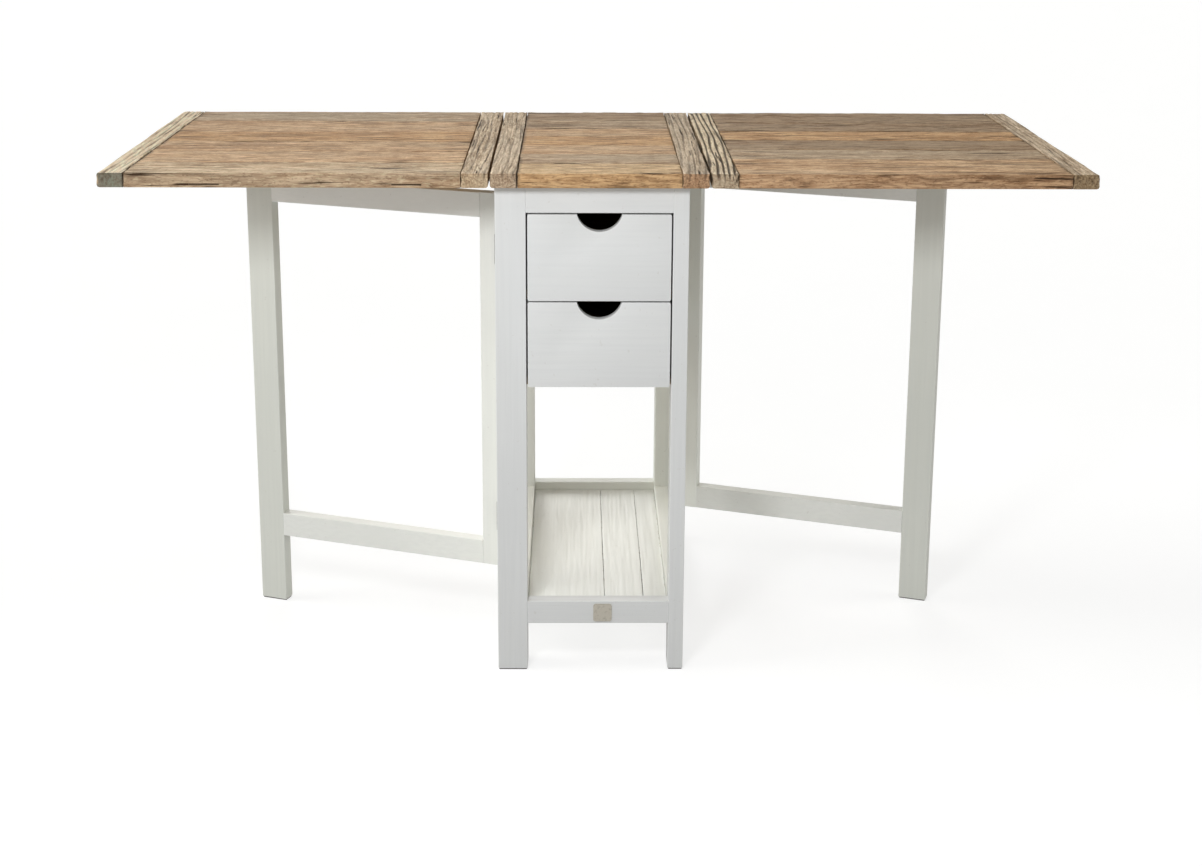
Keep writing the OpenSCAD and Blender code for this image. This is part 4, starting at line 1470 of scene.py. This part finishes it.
@dataclass(frozen=True)
class Studio:
    """Pale floor, soft light and the photograph's viewpoint, with its angles in radians."""

    eye: tuple[float, float, float] = (-0.0454624, -3.7639714, 1.6023476)
    lens: float = 55.75
    shift_y: float = -0.12
    pitch: float = 0.2385
    yaw: float = 0.0143
    roll: float = -0.0048
    floor_size: float = 60.0
    # Strength of the floor and the sky, first as light on the table and then as the camera sees them.
    floor_glow: float = 0.31
    floor_seen: float = 0.705
    sky_glow: float = 0.14
    sky_seen: float = 1.0
    box_place: tuple[float, float, float] = (-0.45, -1.75, 1.65)
    box_aim: tuple[float, float, float] = (0.0, -0.3, 0.8)
    box_size: float = 0.35
    box_power: float = 16.5
    box_tint: Colour = (0.97, 0.985, 1.0)
    broad: tuple[SoftLight, ...] = (
        SoftLight("broad_light_above", 0.45, 60.0, (0.10, 0.10, -1.0), (1.0, 1.0, 1.0)),
        SoftLight("broad_light_left", 1.7, 38.0, (0.80, -0.04, -0.42), (1.0, 1.0, 0.955)),
        SoftLight("broad_light_right", 0.9, 38.0, (-0.80, 0.03, -0.42), (1.0, 1.0, 0.94)),
        SoftLight("broad_light_back", 0.75, 34.0, (0.15, -0.85, -0.42), (1.0, 1.0, 0.98)),
        SoftLight("broad_light_front", 0.5, 50.0, (0.55, 0.80, -0.18), (1.0, 1.0, 0.975)))

    def build(self) -> None:
        """Makes the floor, the lights, the sky and the camera."""
        self.floor()
        for light in self.broad:
            light.shine()
        self.softbox()
        self.sky()
        self.camera()
        bpy.context.scene.view_settings.view_transform = "Standard"
        bpy.context.scene.view_settings.look = "None"

    def floor(self) -> None:
        """Lays a large pale floor that is lit from within, so shadows on it stay faint."""
        Workbench.clear()
        bpy.ops.mesh.primitive_plane_add(size=self.floor_size)
        floor = bpy.context.active_object
        floor.name = "studio_floor"
        made, g, shader = new_material("studio_floor_finish")
        at = g.node("TexCoord").outputs["Object"]
        shade = g.blend(g.noise(at, 3.0, 2.0), (0.34, 0.34, 0.34), (0.36, 0.36, 0.36))
        g.tree.links.new(shade, shader.inputs["Base Color"])
        shader.inputs["Emission Color"].default_value = (1.0, 1.0, 1.0, 1.0)
        seen = g.node("LightPath").outputs["Is Camera Ray"]
        glow = g.span(seen, 0.0, 1.0, self.floor_glow, self.floor_seen)
        g.tree.links.new(glow, shader.inputs["Emission Strength"])
        shader.inputs["Roughness"].default_value = 0.9
        shader.inputs["Specular IOR Level"].default_value = 0.1
        dress(floor, made)

    def softbox(self) -> None:
        """Hangs the soft square light in front of the table."""
        lamp = bpy.data.lights.new("softbox_front", "AREA")
        lamp.shape = "SQUARE"
        lamp.size = self.box_size
        lamp.energy = self.box_power
        lamp.color = self.box_tint
        holder = hang("softbox_front", lamp)
        place = Vector(self.box_place)
        holder.location = place
        holder.rotation_euler = (Vector(self.box_aim) - place).to_track_quat("-Z", "Y").to_euler()

    def sky(self) -> None:
        """Makes the white surroundings."""
        world = bpy.data.worlds.new("studio_white")
        world.use_nodes = True
        back = world.node_tree.nodes["Background"]
        back.inputs[0].default_value = (1.0, 1.0, 1.0, 1.0)
        g = Graph(world.node_tree)
        seen = g.node("LightPath").outputs["Is Camera Ray"]
        g.tree.links.new(g.span(seen, 0.0, 1.0, self.sky_glow, self.sky_seen), back.inputs[1])
        bpy.context.scene.world = world

    def camera(self) -> None:
        """Places the camera where the photograph was taken."""
        data = bpy.data.cameras.new("photo_camera")
        data.lens = self.lens
        data.sensor_width = 36.0
        data.shift_y = self.shift_y
        data.dof.use_dof = False
        holder = hang("photo_camera", data)
        ahead = Vector((math.sin(self.yaw) * math.cos(self.pitch), math.cos(self.yaw) * math.cos(self.pitch),
                        -math.sin(self.pitch)))
        right = Vector((math.cos(self.yaw), -math.sin(self.yaw), 0.0))
        down = ahead.cross(right)
        turned = right * math.cos(self.roll) + down * math.sin(self.roll)
        below = down * math.cos(self.roll) - right * math.sin(self.roll)
        pose = Matrix((turned, -below, -ahead)).transposed().to_4x4()
        pose.translation = self.eye
        holder.matrix_world = pose
        bpy.context.scene.camera = holder


def report(part: str, pieces: list[bpy.types.Object]) -> None:
    """Logs the pieces of one sub-assembly."""
    for piece in pieces:
        LOG.info("%s: %s, %d faces", part, piece.name, len(piece.data.polygons))


def main() -> None:
    """Builds the dressed table."""
    logging.basicConfig(level=logging.INFO, format="%(name)s %(message)s")
    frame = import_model()
    fibre_group()
    edge_group()
    relief = Relief()
    report("top", TableTop(relief).build())
    report("shelf", Shelf(relief).build())
    relief.done()
    report("drawers", [DrawerFront("drawer_upper_front", "drawer_upper", 2.0).build(),
                       DrawerFront("drawer_lower_front", "drawer_lower", 9.0).build()])
    report("painted", PaintedFrame(frame["nodes"]).build())
    report("fittings", Fittings(frame["nodes"]).build())
    Studio().build()


if __name__ == "__main__":
    main()
